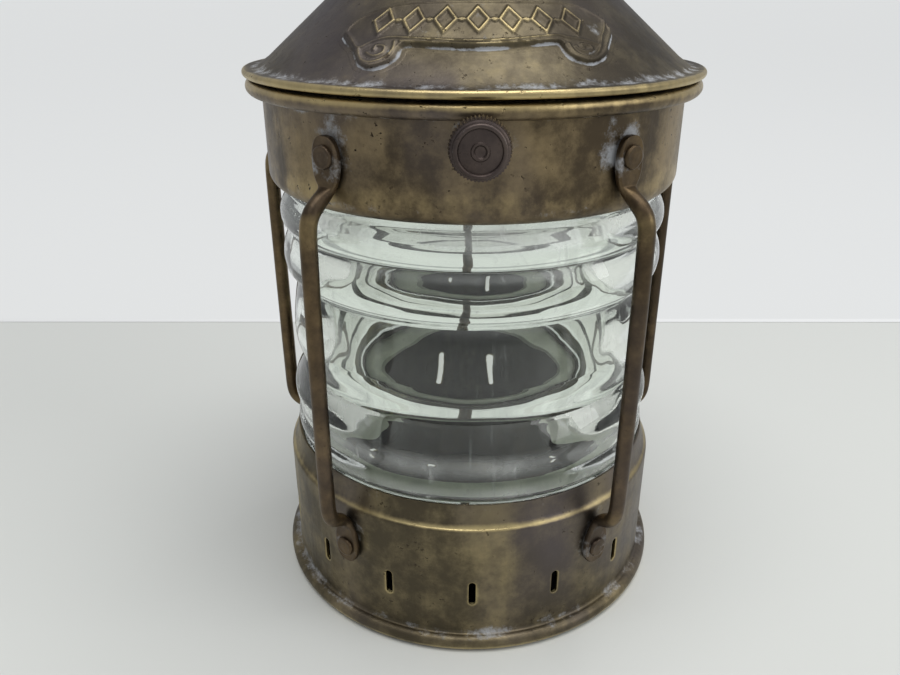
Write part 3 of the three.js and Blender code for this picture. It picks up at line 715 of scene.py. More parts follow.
# %% Glass
GLASS_NECK = DRUM_R - 4.5
GLASS_H = glass_high.z - glass_low.z
RINGS = [
    [(0, 50.4), (0, 53.0), (0.75, 54.6), (1.1, 56.4), (0.9, 58.4), (0.25, 60.2)],
    [
        (0.25, 60.2), (0.2, 61.4), (0.3, 63.2), (0.7, 65.2), (1.2, 67), (1.45, 69), (1.1, 71), (-0.4, 74.2),
        (-2.3, 77.2),
    ],
    [(-2.3, 77.2), (-3.1, 78.1)],
    [(-3.1, 78.1), (-2.6, 80), (-1.65, 82.8), (-0.8, 85.6), (-0.28, 88.4), (-0.1, 91.2)],
    [(-0.1, 91.2), (-0.2, 94), (-0.55, 97.5), (-1.05, 101), (-1.75, 105), (-2.6, 108.8)],
    [
        (-2.6, 108.8), (-1.6, 110), (0.6, 112.6), (1.3, 115.2), (1.4, 117.6), (0.9, 120.5), (-0.3, 123.4),
        (-1.6, 125.8),
    ],
    [(-1.6, 125.8), (0.2, 126.8), (1.2, 128.6), (1.45, 130.6), (1.25, 132.4), (0.6, 134.1)],
    [(0.6, 134.1), (-0.8, 136.4), (-1.9, 138.3), (-2, 143.4)],
]
BORE = [
    (53.9, 50.4), (53.9, 60), (53.9, 70), (53.8, 78), (53.2, 83), (52.75, 88), (52.75, 92), (53.0, 97),
    (53.2, 102), (53.3, 107), (53.4, 113), (54.2, 122), (54.4, 128), (54.3, 136), (54.3, 143.4),
]


def glass_outline():
    """The outside of the glass, bottom to top; a new line starts at each sharp edge."""
    line = []
    for ring in RINGS:
        line += flowing(ring, 5)[bool(line):]
    return [(GLASS_NECK + out, z) for out, z in line]


def glass_lens():
    bore = flowing(BORE, 4)[::-1]
    bm = spun([*glass_outline(), *bore], 240)
    for vert in bm.verts:
        point = vert.co / MM
        r = reach(point)
        if r < 55:
            wave = noise.noise(Vector((point.x * 0.045, point.y * 0.045, point.z * 0.03 + 7)))
            wave += 0.6 * noise.noise(Vector((point.x * 0.11, point.y * 0.11, point.z * 0.06 + 3)))
            behind = 1 + 1.6 * step(point.y, 20, 40)
            scale = 1 + (0.26 * wave * behind) / r
            vert.co.x *= scale
            vert.co.y *= scale
    paint(bm, "dust", glass_dust_and_highlight)
    return finish_piece(bm, "lens", BODY, GLASS, ["glass_lens"], crease=50)


def glass_dust_and_highlight(p):
    share = (p.z - glass_low.z) / GLASS_H
    if reach(p) < 55:
        return 0.02
    top = bump_at(share, 0.92, 0.07) * 0.6
    second = bump_at(share, 0.80, 0.025) * 0.35
    waist = bump_at(share, 0.625, 0.02) * 0.15
    # Painted highlight, laid on as pale haze: the two bands on the lower rings stand for their bright crest
    # lines.
    low = bump_at(share, 0.16, 0.06) * 0.38 + bump_at(share, 0.055, 0.04) * 0.35
    return max(top, second, waist, low)


lens = glass_lens()
print("lens faces", len(lens.data.polygons))

# %% [markdown]
# The collar is a plain turned band. Its lower edge is rolled in under the glass and its top edge
# is rolled out into a bead, which the hood's flange sits on.

# %% Collar, and the rings inside


def ring_piece(name, profile, material, nodes, body=BODY, polish_and_highlight=0.2, bloom=0.0, steps=120):
    bm = spun(profile, steps)
    weather(bm, lambda p: polish_and_highlight, lambda p: bloom)
    return finish_piece(bm, name, body, material, nodes)


def collar_polish_and_highlight(p):
    # Painted highlight along the bead's top; the band low on the collar is rubbed brass.
    bead = bump_at(p.z, BEAD_Z + 1.2, 1.8) * (reach(p) > COLLAR_R + 1)
    lower = bump_at(p.z, COLLAR_Z + 6, 6) * 0.22
    return 0.12 + 0.5 * bead + lower


def collar_bloom(p):
    patchy = 0.75 + 0.7 * noise.noise(p * 0.13)
    tab = near_rod(p, UPPER_RIVET_Z + 1, 13, 15) * 1.1 * patchy
    screw = 1 - math.hypot(from_front(p) * COLLAR_R / 15, (p.z - SCREW_Z) / 10)
    bead = bump_at(p.z, BEAD_Z - 2.4, 1.6) * 0.5 * patchy
    return max(tab, screw * 0.7, bead, bump_at(p.z, COLLAR_Z + 3.2, 3.4) * 0.4 * patchy)


def collar():
    bead_mid = COLLAR_R + 2.45
    corner = COLLAR_R - 4.5
    rim = GLASS_NECK - 1.4
    wall = [COLLAR_Z + 4.5 + (BEAD_Z - 7.6 - COLLAR_Z) * i / 12 for i in range(1, 12)]
    profile = [
        (rim, COLLAR_Z + 0.2),
        *arc(corner, COLLAR_Z + 4.5, 4.5, -90, 0, 10),
        *[(COLLAR_R, z) for z in wall],
        (COLLAR_R, BEAD_Z - 2.5),
        *arc(bead_mid, BEAD_Z, 2.25, -125, 130, 20),
        (COLLAR_R - SHEET, BEAD_Z + 0.8),
        *[(COLLAR_R - SHEET, z) for z in reversed(wall)],
        *arc(corner, COLLAR_Z + 4.5, 4.5 - SHEET, 0, -90, 6),
        (rim, COLLAR_Z + SHEET),
    ]
    bm = spun(profile, 240)
    weather(bm, collar_polish_and_highlight, collar_bloom)
    return finish_piece(bm, "collar_band", BODY, AGED, ["collar"], crease=50)


collar()
seat_out = DRUM_R - SHEET - 0.4
ring_piece(
    "seat_ring",
    [
        (45, seat_high.z - 1.2),
        (seat_out - 1, seat_high.z - 1.2),
        (seat_out - 1, seat_low.z),
        (seat_out, seat_low.z),
        (seat_out, SHOULDER_Z - 2.6),
        (seat_out - 1.7, seat_high.z),
        (45, seat_high.z),
    ],
    PALE_SEAT_LIGHT,
    ["glass_seat"],
)
retainer_out = COLLAR_R - SHEET - 0.4
ring_piece(
    "retaining_ring",
    [
        (48, retainer_low.z),
        (retainer_out, retainer_low.z),
        (retainer_out, retainer_high.z),
        (retainer_out - 0.9, retainer_high.z),
        (retainer_out - 0.9, retainer_low.z + 1.2),
        (48, retainer_low.z + 1.2),
    ],
    SOOTED,
    ["glass_retainer"],
)
print("collar and inner rings made")

# %% [markdown]
# The hood is one spun cone of sheet with a flat flange. Its rim is rolled, and the wall thickness
# shows on the underside.

# %% Hood
CONE_SLOPE = 1.151
FLANGE_TOP = FLANGE_Z + 2.2
CONE_FOOT = FLANGE_R - 5
NECK_R = 27.0
CONE_TOP = FLANGE_TOP + (CONE_FOOT - NECK_R) / CONE_SLOPE
HOOD = "hood"


def cone_height(radius):
    return FLANGE_TOP + (CONE_FOOT - radius) / CONE_SLOPE


def hood_polish_and_highlight(p):
    # Painted highlight along the flange's rolled rim.
    rim = bump_at(reach(p), FLANGE_R - 0.3, 1.3)
    return 0.15 + 0.5 * rim


def hood_bloom(p):
    return bump_at(reach(p), CONE_FOOT + 1, 4.5) * 0.5


def hood_cone():
    slope = [(NECK_R + (CONE_FOOT - 3 - NECK_R) * i / 16, 0) for i in range(16, -1, -1)]
    slope = [(r, cone_height(r)) for r, _ in slope]
    profile = [
        *arc(FLANGE_R - 1.1, FLANGE_Z + 1.1, 1.1, -150, 90, 12),
        (FLANGE_R - 2.6, FLANGE_TOP - 0.15),
        (CONE_FOOT + 1.6, FLANGE_TOP - 0.05),
        (CONE_FOOT + 0.4, FLANGE_TOP + 0.22),
        (CONE_FOOT - 1, cone_height(CONE_FOOT - 1) + 0.38),
        *slope,
        (NECK_R, CONE_TOP + 4),
        (NECK_R - SHEET, CONE_TOP + 4),
        (NECK_R - SHEET, CONE_TOP - 0.4),
        *[(r - 0.4, z - 1.1) for r, z in reversed(slope[:-1])],
        (CONE_FOOT + 0.6, FLANGE_TOP - 1.1),
        (FLANGE_R - 2.2, FLANGE_TOP - 1.1),
    ]
    bm = spun(profile, 240)
    weather(bm, hood_polish_and_highlight, hood_bloom)
    return finish_piece(bm, "cone", HOOD, HOODED, ["hood_cone"], crease=45)


hood_cone()
skirt_out = COLLAR_R - SHEET - 0.6
ring_piece(
    "sleeve",
    [
        (skirt_out - SHEET, skirt_low.z),
        (skirt_out, skirt_low.z),
        (skirt_out, skirt_high.z),
        (skirt_out - SHEET, skirt_high.z),
    ],
    SOOTED,
    ["hood_skirt"],
    body=HOOD,
)
print("hood made")

# %% [markdown]
# A guard rod is one length of round bar. Each end is heated and hammered flat, which spreads it
# sideways into a tab with a slightly raised edge. The rod is a row of rings bridged one to the
# next: each station on its path has its own width and thickness, and its outline goes from a
# circle to a flat oblong, as the bar's does under the hammer. Rods are fitted by hand, so each
# stands a fraction of a degree off its true place.

# %% Guard rods and rivets
ROD_D = 4.8
ROD_LINE = DRUM_R + 8.7
RING = 28
ROD_OFFSETS = {
    1: (0.75, 0.4, 0.7),
    2: (0.2, -0.2, -0.1),
    3: (0, 0.2, 0),
    4: (-0.2, 0.1, 0.2),
    5: (0.15, 0.8, -0.5),
}


def section(angle, square, rim):
    """A point of the bar's outline: square goes from 0, a circle, to 1, a flat oblong."""
    power = 2 / (2 + 3 * square)
    x = math.copysign(abs(math.cos(angle)) ** power, math.cos(angle))
    y = math.copysign(abs(math.sin(angle)) ** power, math.sin(angle))
    lift = rim * math.exp(-(((abs(x) - 0.84) / 0.12) ** 2)) if y > 0.3 else 0.0
    return x, y + lift


def sweep(stations):
    """A bar through stations of (place, direction, side, width, thickness, square, rim), in mm."""
    bm = bmesh.new()
    loops = []
    for place, along, side, width, thick, square, rim in stations:
        out = side.cross(along).normalized()
        made = bmesh.ops.create_circle(bm, segments=RING, radius=1.0)["verts"]
        for i, vert in enumerate(made):
            x, y = section(math.tau * i / RING, square, rim)
            vert.co = (place + side * x * width / 2 + out * y * thick / 2) * MM
        loops.append(list({edge for vert in made for edge in vert.link_edges}))
    for first, second in zip(loops, loops[1:]):
        bmesh.ops.bridge_loops(bm, edges=first + second)
    for end in (loops[0], loops[-1]):
        bmesh.ops.contextual_create(bm, geom=end)
    return bm


def tab_rows(wall, rivet_z, sign):
    """A tab from its round end to the bar: radius, height, width, thickness, square, rim."""
    middle = wall + 0.4 + 1.0
    plan = [(5.5, 1.6), (5.2, 4.0), (4.5, 6.1), (3.2, 8.0), (1.5, 9.1), (-0.8, 9.5), (-3.2, 9.3)]
    plan += [(-5.3, 8.6), (-6.9, 7.4), (-7.9, 6.2)]
    rows = []
    for i, (rise, width) in enumerate(plan):
        full = min(i / 2, 1) * (1 if i < 8 else 0.6)
        rows.append((middle, rivet_z + sign * rise, width, 2.0, 1.0 if i < 8 else 0.6, 0.22 * full))
    return rows


def rod_path():
    up, down = UPPER_RIVET_Z, LOWER_RIVET_Z
    line = ROD_LINE
    bend = [
        (COLLAR_R + 1.9, up - 8.9, 5.1, 3.0, 0.3, 0),
        (COLLAR_R + 3.4, up - 10.2, 4.8, 4.2, 0, 0),
        (line - 3.9, up - 11.7, ROD_D, ROD_D, 0, 0),
        (line - 1.8, up - 13.5, ROD_D, ROD_D, 0, 0),
        (line - 0.5, up - 15.7, ROD_D, ROD_D, 0, 0),
        (line, up - 18.4, ROD_D, ROD_D, 0, 0),
    ]
    top, low = up - 18.4, down + 18.5
    straight = [(line, top + (low - top) * i / 12, ROD_D, ROD_D, 0, 0) for i in range(1, 13)]
    foot = [
        (line - 0.3, down + 15.0, ROD_D, ROD_D, 0, 0),
        (line - 1.3, down + 12.9, ROD_D, ROD_D, 0, 0),
        (line - 3.0, down + 11.5, ROD_D, ROD_D - 0.2, 0, 0),
        (line - 5.0, down + 10.6, 4.9, 4.2, 0, 0),
        (DRUM_R + 2.2, down + 9.6, 5.2, 3.2, 0.3, 0),
    ]
    return tab_rows(COLLAR_R, up, 1) + bend + straight + foot + tab_rows(DRUM_R, down - 1, -1)[::-1]


def guard_rod(index, turn):
    rows = rod_path()
    upper, lower, bow = ROD_OFFSETS[index]
    stations = []
    for i, (r, z, width, thick, square, rim) in enumerate(rows):
        before, after = rows[max(i - 1, 0)], rows[min(i + 1, len(rows) - 1)]
        along = Vector((0, -(after[0] - before[0]), after[1] - before[1])).normalized()
        share = (z - LOWER_RIVET_Z) / (UPPER_RIVET_Z - LOWER_RIVET_Z)
        sway = bow * math.sin(math.pi * min(max(share, 0), 1))
        wobble = 1 + 0.03 * noise.noise(Vector((index * 9.1, z * 0.11, 0.0)))
        place = Vector((sway, -r, z))
        stations.append((place, along, Vector((-1, 0, 0)), width * wobble, thick * wobble, square, rim))
    bm = sweep(stations)
    for vert in bm.verts:
        share = (vert.co.z / MM - LOWER_RIVET_Z) / (UPPER_RIVET_Z - LOWER_RIVET_Z)
        extra = math.radians(lower + (upper - lower) * min(max(share, 0), 1))
        vert.co = Matrix.Rotation(turn + extra * (1 if index < 4 else -1), 3, "Z") @ vert.co
    weather(bm, rod_polish, rod_bloom)
    name = "rod_" + str(index)
    piece = finish_piece(bm, name, BODY, GUARD, ["guard_rod_" + str(index)], crease=80)
    smooth = piece.modifiers.new("round_off", "SUBSURF")
    smooth.levels = smooth.render_levels = 2
    return piece


def rod_polish(p):
    return 0.2 + 0.35 * bump_at(p.z, UPPER_RIVET_Z - 16, 5) + 0.15 * bump_at(p.z, LOWER_RIVET_Z + 12, 6)


def rod_bloom(p):
    top = bump_at(p.z, UPPER_RIVET_Z - 2, 9) * 0.55 * (reach(p) < COLLAR_R + 3)
    low = bump_at(p.z, LOWER_RIVET_Z, 9) * 0.45 * (reach(p) < DRUM_R + 3.2)
    return max(top, low)


def rivet(name, wall, height, turn, foot=2.3, size=1.0, body=BODY):
    """A hammered head, spun, stood on its plate and turned to its place."""
    profile = [
        (0, 0),
        (1.8, 0),
        (1.8, foot - 0.2),
        (3.15, foot - 0.2),
        (3.2, foot + 0.35),
        (3.0, foot + 0.7),
        (2.5, foot + 0.85),
        (2.2, foot + 0.75),
        (1.2, foot + 0.9),
        (0, foot + 0.95),
    ]
    bm = spun(profile, 36, closed=False)
    stand = Matrix.Rotation(turn, 3, "Z") @ Matrix.Rotation(math.pi / 2, 3, "X")
    out = Vector((math.sin(turn), -math.cos(turn), 0)) * (wall + 0.3)
    for vert in bm.verts:
        dent = noise.noise(vert.co * 600 + Vector((turn, height, 0)))
        vert.co.xy *= (1 + dent * 0.05) * size
        vert.co = stand @ vert.co + (out + Vector((0, 0, height))) * MM
    weather(bm, lambda p: 0.1, lambda p: 0.3)
    return finish_piece(bm, name.replace("rivet", "stud"), body, GUARD, [name], crease=60)


for number, turn in enumerate(ROD_TURNS, 1):
    guard_rod(number, turn)
    way = math.radians(1 if number < 4 else -1)
    upper, lower, _ = ROD_OFFSETS[number]
    rivet("collar_rivet_" + str(number), COLLAR_R, UPPER_RIVET_Z, turn + upper * way)
    rivet("base_rivet_" + str(number), DRUM_R, LOWER_RIVET_Z - 0.6, turn + lower * way)
print("guard rods and rivets", 3 * len(ROD_TURNS))

# %% [markdown]
# The clamping screw has a milled head: fine upright teeth round a short cylinder, and a turned
# crown in front of it with a raised rim and a sunk face. The teeth are made by pulling in every
# other point of a ring before it is extruded.

# %% Clamping screw
KNOB_BACK = 74.2
KNOB_FRONT = -screw_low.y
KNOB_TEETH = 49


def face_front(bm, depth, height):
    """Stands a bmesh that was made flat in XY up at the front, its +Z facing -Y."""
    turn_all(bm, math.pi / 2, "X")
    shift_all(bm, 0, -depth, height)


def milled_rim(radius, thick, teeth):
    bm = bmesh.new()
    verts = bmesh.ops.create_circle(bm, segments=teeth * 4, radius=radius * MM, cap_ends=True)["verts"]
    for vert in verts:
        phase = (math.atan2(vert.co.y, vert.co.x) / math.tau * teeth) % 1
        depth = 0.5 * (abs(phase - 0.5) * 2) ** 0.8
        vert.co *= (radius - depth) / radius
    lifted = pull_out(bm)
    bmesh.ops.translate(bm, verts=lifted, vec=(0, 0, thick * MM))
    for vert in lifted:
        vert.co.x *= 0.975
        vert.co.y *= 0.975
    return bm


def clamping_screw():
    front = KNOB_FRONT - KNOB_BACK
    rim = milled_rim(7.5, 4.2, KNOB_TEETH)
    crown = spun(
        [
            (0, 0.4),
            (6.9, 0.4),
            (6.9, 4.3),
            (6.5, 4.5),
            (6.35, front - 0.9),
            *arc(5.75, front - 0.75, 0.62, 10, 160, 6),
            (5.0, front - 0.95),
            (2.3, front - 0.8),
            (2.05, front - 0.5),
            (1.6, front - 0.5),
            (1.2, front - 1.0),
            (0, front - 1.4),
        ],
        72,
        closed=False,
    )
    shank = spun([(0, -10.6), (1.8, -10.6), (2, -10.4), (2, 0.6), (0, 0.6)], 24, closed=False)
    bm = joined(rim, crown, shank)
    face_front(bm, KNOB_BACK, SCREW_Z)
    # Painted glints on the tips of the milled teeth.
    weather(
        bm,
        lambda p: 0.15 + 0.75 * bump_at(math.hypot(p.x, p.z - SCREW_Z), 7.5, 0.35),
        lambda p: 0.25 * bump_at(math.hypot(p.x, p.z - SCREW_Z), 6.1, 0.7),
    )
    nodes = ["clamping_screw"]
    return finish_piece(bm, "milled_screw", "clamping_screw", SCREW, nodes, crease=30)


def standing_ring(name, body, profile, depth, nodes):
    """A small ring of the screw, spun flat and stood up at the front."""
    bm = spun(profile, 48)
    face_front(bm, depth, SCREW_Z)
    weather(bm, lambda p: 0.15, lambda p: 0.2)
    return finish_piece(bm, name, body, SCREW, nodes)


clamping_screw()
boss = [(2.3, 0), (5.4, 0), (4.8, 0.5), (4.5, 1.3), (4.5, 7.0), (4.1, 7.45), (2.3, 7.45)]
standing_ring("threaded_boss", BODY, boss, COLLAR_R + 0.4, ["screw_boss"])
washer = [(2.3, 0), (5.3, 0), (5.6, 0.2), (5.6, 0.6), (5.3, 0.8), (2.3, 0.8)]
standing_ring("loose_washer", "screw_travel", washer, KNOB_BACK - 1.2, ["screw_washer"])
print("clamping screw made")

# %% [markdown]
# Round the front of the cone lies a pressed ribbon with a curled end at each side. Its relief is
# a height field on a fine grid that is wrapped round the cone. The outline is measured round the
# cone and up its slope; how far a point lies inside it gives the ribbon's rounded edge. A row of
# plain raised lozenges and dots fills the middle, and a double line runs along the lower edge.

# %% Scroll
SCROLL_MID = 50.0
SLOPE = math.hypot(CONE_SLOPE, 1)
OUTLINE = [
    (-34.6, -5.4), (-34.1, -1.0), (-30.0, 3.5), (-23.2, 6.3), (-17.6, 7.2), (-8, 7.7), (0.4, 7.8),
    (10, 7.7), (21.2, 7.3), (28.1, 6.5), (32.6, 3.8), (35.4, 0.6), (35.6, -3.9), (33.6, -6.2),
    (31.3, -8.7), (29.6, -10.9), (27.1, -12.7), (24.0, -13.6), (21.5, -12.8), (19.6, -11.2),
    (18.8, -8.7), (18.0, -6.6), (12.5, -6.9), (5.9, -7.7), (-0.7, -8.1), (-8.1, -7.8), (-15.1, -7.4),
    (-17.0, -8.2), (-17.4, -11.1), (-18.7, -13.3), (-20.8, -14.8), (-22.9, -15.2), (-25.5, -14.0),
    (-27.4, -11.6), (-29.5, -9.0), (-32.4, -7.1),
]
RIDGES = [
    [
        (-18.9, -5.2), (-13.3, -5.5), (-2.4, -6.0), (6.1, -5.7), (17.8, -4.6), (20.5, -5.3), (24.7, -6.4),
        (28.4, -8.4),
    ],
    [(-17.6, -6.5), (-0.7, -7.0), (17.4, -5.9)],
    [
        (35.0, 0.0), (32.9, -3.0), (30.4, -5.6), (28.6, -8.3), (26.2, -11.0), (23.2, -11.9), (20.9, -10.3),
        (20.3, -7.4),
    ],
    [(-33.6, -4.2), (-30.4, -6.5), (-27.2, -9.2), (-24.8, -7.2), (-21.6, -5.6), (-18.9, -5.2)],
    [(-27.2, -9.2), (-25.2, -12.6), (-22.6, -13.6), (-19.8, -12.0), (-18.6, -9.2), (-18.9, -6.6)],
    [(-24.4, -10.6), (-22.4, -11.6), (-20.6, -10.4), (-20.8, -8.4), (-22.8, -8.2), (-23.0, -9.6)],
    [(21.8, -8.4), (23.2, -10.2), (25.6, -9.6), (25.2, -8.0), (23.4, -7.8), (23.6, -8.8)],
]


def on_cone(across, up, out):
    """A place from round the cone, up its slope and out from its face, in millimetres."""
    r = SCROLL_MID - up * CONE_SLOPE / SLOPE + out / SLOPE
    z = cone_height(SCROLL_MID) + up / SLOPE + out * CONE_SLOPE / SLOPE
    angle = across / SCROLL_MID
    return Vector((r * math.sin(angle), -r * math.cos(angle), z))


def from_line(x, y, start, stop):
    """Distance from a point to a short line."""
    dx, dy = stop[0] - start[0], stop[1] - start[1]
    t = ((x - start[0]) * dx + (y - start[1]) * dy) / (dx * dx + dy * dy)
    t = min(max(t, 0.0), 1.0)
    return math.hypot(x - start[0] - t * dx, y - start[1] - t * dy)


OUTLINE = flowing([*OUTLINE, OUTLINE[0]], 3)
RIDGES = [list(zip(line, line[1:])) for line in (flowing(ridge, 3) for ridge in RIDGES)]
SIDES = list(zip(OUTLINE, OUTLINE[1:]))


def inside_by(x, y):
    """How far a point lies inside the outline; negative outside."""
    nearest = min(from_line(x, y, a, b) for a, b in SIDES)
    crossings = sum(
        1 for (ax, ay), (bx, by) in SIDES
        if (ay > y) != (by > y) and x < ax + (y - ay) * (bx - ax) / (by - ay)
    )
    return nearest if crossings % 2 else -nearest


def motif(x, y):
    """Seven raised lozenges with a dot between each two."""
    y = y - 0.9 + 0.0016 * x * x
    lozenge = abs((x / 8.0 + 0.5) % 1 - 0.5) * 8.0 / 3.3 + abs(y) / 5.0
    dot = math.hypot(((x / 8.0) % 1 - 0.5) * 8.0, y) / 0.9
    ring = math.exp(-(((lozenge - 0.8) / 0.19) ** 2)) * 0.6
    return ring + step(1 - dot, 0.1, 0.5) * 0.45 if abs(x) < 27.5 else 0.0


def ribbon_relief(x, y, inside):
    band = step(inside, 0.35, 1.0) * 0.95
    border = math.exp(-(((inside - 0.85) / 0.4) ** 2)) * 0.28
    ridge = 0.0
    if inside > 0.3:
        near = min(from_line(x, y, a, b) for line in RIDGES for a, b in line)
        ridge = math.exp(-((near / 0.38) ** 2)) * 0.42
    return band + max(border, ridge) + (motif(x, y) if inside > 1.6 else 0.0)


def scroll():
    bm = bmesh.new()
    across_cells, up_cells = 280, 104
    bmesh.ops.create_grid(bm, x_segments=across_cells, y_segments=up_cells, size=0.5)
    layer_polish_and_highlight, layer_bloom = shelf(bm, "polish_and_highlight"), shelf(bm, "bloom")
    outside = []
    for vert in bm.verts:
        x = vert.co.x * 77 + 0.5
        y = -3.6 + vert.co.y * 27
        inside = inside_by(x, y)
        relief = ribbon_relief(x, y, inside) if inside > -0.6 else 0.0
        lift = 0.03 if inside > -1.6 else -0.12
        vert.co = on_cone(x, y, relief + lift) * MM
        # Rubbed brass and painted glints on the ribbon's raised tops, ridges and lozenges.
        vert[layer_polish_and_highlight] = 0.15 + 0.36 * min(max((relief - 1.14) * 2.5, 0), 1)
        patchy = 0.62 + 0.8 * noise.noise(Vector((x * 0.22, y * 0.22, 3.0)))
        foot = math.exp(-(((inside + 0.05) / 0.42) ** 2)) * patchy
        hollow = 0.36 * step(inside, 1.4, 0.6) * (relief < 1.05) * patchy
        vert[layer_bloom] = max(foot, hollow)
        if inside < -2.2:
            outside.append(vert)
    bmesh.ops.delete(bm, geom=outside, context="VERTS")
    return finish_scroll(bm)


def finish_scroll(bm):
    for vert in pull_out(bm):
        flat = reach(vert.co)
        vert.co.z -= 0.3 * MM
        vert.co.x *= (flat - 0.3 * MM) / flat
        vert.co.y *= (flat - 0.3 * MM) / flat
    return finish_piece(bm, "ribbon", HOOD, HOODED, ["scroll_plate"], crease=60)


scroll()
print("scroll made")

# %% [markdown]
# The ventilator is a short tube with 12 round holes and a domed cap with a small finial. The tube
# is made like the drum's band: one flat panel with its hole, bent and repeated.

# %% Ventilator
neck_low, neck_high = size_of("vent_neck")
cap_low, cap_high = size_of("vent_cap")
NECK_OUT = neck_high.x
HOLE_Z = neck_high.z - 5.4


def vent_neck():
    inside = NECK_OUT - SHEET
    low, high = HOLE_Z - 4.6, HOLE_Z + 4.2
    foot = [(inside, neck_low.z), (NECK_OUT, neck_low.z), (NECK_OUT, neck_low.z + 4), (NECK_OUT, low)]
    top = [(NECK_OUT, high), (NECK_OUT - 0.1, neck_high.z), (inside, neck_high.z), (inside, high)]
    bm = joined(
        *lined_wall(NECK_OUT, low, high, 12, 5.2, 5.2, HOLE_Z),
        turned_from_front(foot, 144),
        turned_from_front(top, 144),
        turned_from_front([(inside, low), (inside, neck_low.z)], 144),
    )
    bmesh.ops.remove_doubles(bm, verts=bm.verts[:], dist=2e-5)
    turn_all(bm, math.pi / 12, "Z")
    weather(bm, lambda p: 0.18, lambda p: 0.5 * bump_at(p.z, neck_low.z, 3.5))
    return finish_piece(bm, "ventilator", HOOD, AGED, ["vent_neck"], crease=50)


def vent_cap():
    rim, foot, tip = cap_high.x, cap_low.z + 2.2, cap_high.z
    crown = foot + 12
    dome = [(rim - 1.3, foot + 0.4), (28.3, crown - 7.9), (21.5, crown - 4.6), (14.2, crown - 2.5)]
    dome += [(5.2, crown - 0.1)]
    under = [(8, crown - 2), (NECK_OUT * 0.5, crown - 3.6), (NECK_OUT - 1, foot + 3), (NECK_OUT - 1, foot)]
    profile = [
        (0, crown - 1.2),
        *under,
        (NECK_OUT + 0.4, foot),
        (rim - 1.6, foot - 1.9),
        *arc(rim - 0.85, foot - 1.4, 0.8, -140, 100, 10),
        *flowing(dome, 5),
        (4.4, crown + 0.5),
        (3.7, crown + 1.3),
        (3.9, crown + 1.7),
        *arc(0, crown + 4.7, 4.8, -38, 66, 12),
        (1.3, tip - 0.25),
        (0, tip),
    ]
    bm = spun(profile, 144, closed=False)
    weather(
        bm,
        lambda p: 0.15 + 0.4 * bump_at(reach(p), rim, 1.2) + 0.3 * bump_at(p.z, crown + 6, 4),
        lambda p: 0.5 * bump_at(p.z, crown + 0.6, 1.6) * (reach(p) < 6),
    )
    return finish_piece(bm, "domed_cap", HOOD, AGED, ["vent_cap"], crease=45)


vent_neck()
vent_cap()
print("ventilator made")

# %% [markdown]
# Two ears on the neck carry the bail. Each is a strap, bent from the neck out and up into a lug
# with a hole, and the bail is one length of wire with a hooked end in each hole. At rest it lies
# back over the hood.

# %% Ears and bail
bail_high = size_of("bail_handle")[1]
ear_high = size_of("bail_ear_right")[1]
WIRE_R = 2.2
ARM_X = bail_high.x - WIRE_R
EAR_X = ear_high.x - 1.0
PIVOT_Z = ear_high.z - 4.9
ARM = 38.0
BOW_RISE = 33.2
BOW_STEPS = 32
EAR_T = 2.0
LEAN = math.radians(-118)


def lug_plate():
    """The ear's round-ended plate with its hole, standing in the YZ plane."""
    bm = bmesh.new()
    count, bore = 40, 2 * WIRE_R + 0.8
    hole = vent_outline(count, bore, bore)
    edge = [(x, z - 2.0) for x, z in vent_outline(count, 10, 14)]
    loops = [loop_of(bm, points) for points in (hole, edge)]
    bmesh.ops.bridge_loops(bm, edges=loops[0] + loops[1])
    for vert in pull_out(bm):
        vert.co.y -= EAR_T * MM
    bmesh.ops.bevel(
        bm,
        geom=[edge for edge in bm.edges if edge.calc_face_angle(0) > 1.2],
        offset=0.25 * MM,
        segments=2,
        affect="EDGES",
    )
    turn_all(bm, math.pi / 2, "Z")
    shift_all(bm, EAR_X - EAR_T / 2, 0, PIVOT_Z)
    return bm


def flat_stations(line, size_at):
    """Stations of a bar on a line of (x, z) points; size_at(i) is its width, thickness and square."""
    stations = []
    for i, (x, z) in enumerate(line):
        before, after = line[max(i - 1, 0)], line[min(i + 1, len(line) - 1)]
        along = Vector((after[0] - before[0], 0, after[1] - before[1])).normalized()
        stations.append((Vector((x, 0, z)), along, Vector((0, 1, 0)), *size_at(i), 0))
    return stations


def strap():
    """The bent strap from the neck's face out to the lug's foot."""
    near, far, low = NECK_OUT + 1.4, EAR_X, PIVOT_Z - 8.0
    path = [(near, PIVOT_Z + rise) for rise in (2, 0, -3)]
    path += [(near, low + 2.4), (near + 0.7, low + 0.7), (near + 2.4, low)]
    path += [(far - 2.4, low), (far - 0.7, low + 0.7), (far, low + 2.4), (far, low + 5)]
    widths = [6.5] + [9.4] * (len(path) - 2) + [8.8]
    return sweep(flat_stations(path, lambda i: (widths[i], 1.9, 0.9)))


def ear(side, name):
    bm = joined(lug_plate(), strap())
    if side < 0:
        turn_all(bm, math.pi, "Z")
    weather(
        bm,
        lambda p: 0.15 + 0.4 * bump_at(p.z, PIVOT_Z + 4.9, 2),
        lambda p: 0.4 * bump_at(p.z, PIVOT_Z - 8, 2),
    )
    return finish_piece(bm, "lug_" + name, HOOD, GUARD, ["bail_ear_" + name], crease=50)


def bail_line():
    """The wire's centre line from one hooked end to the other, upright."""
    bend = 3.2
    half = [(EAR_X - 3.4, 0), (EAR_X - 1.0, 0), (ARM_X - bend, 0)]
    half += [(x, z) for x, z in arc(ARM_X - bend, bend, bend, -72, 0, 4)]
    half += [(ARM_X, bend + (ARM - bend) * i / 6) for i in range(1, 7)]
    turns = [math.pi * i / BOW_STEPS for i in range(1, BOW_STEPS)]
    bow = [(ARM_X * math.cos(a), ARM + BOW_RISE * math.sin(a)) for a in turns]
    return half + bow + [(-x, z) for x, z in reversed(half)]


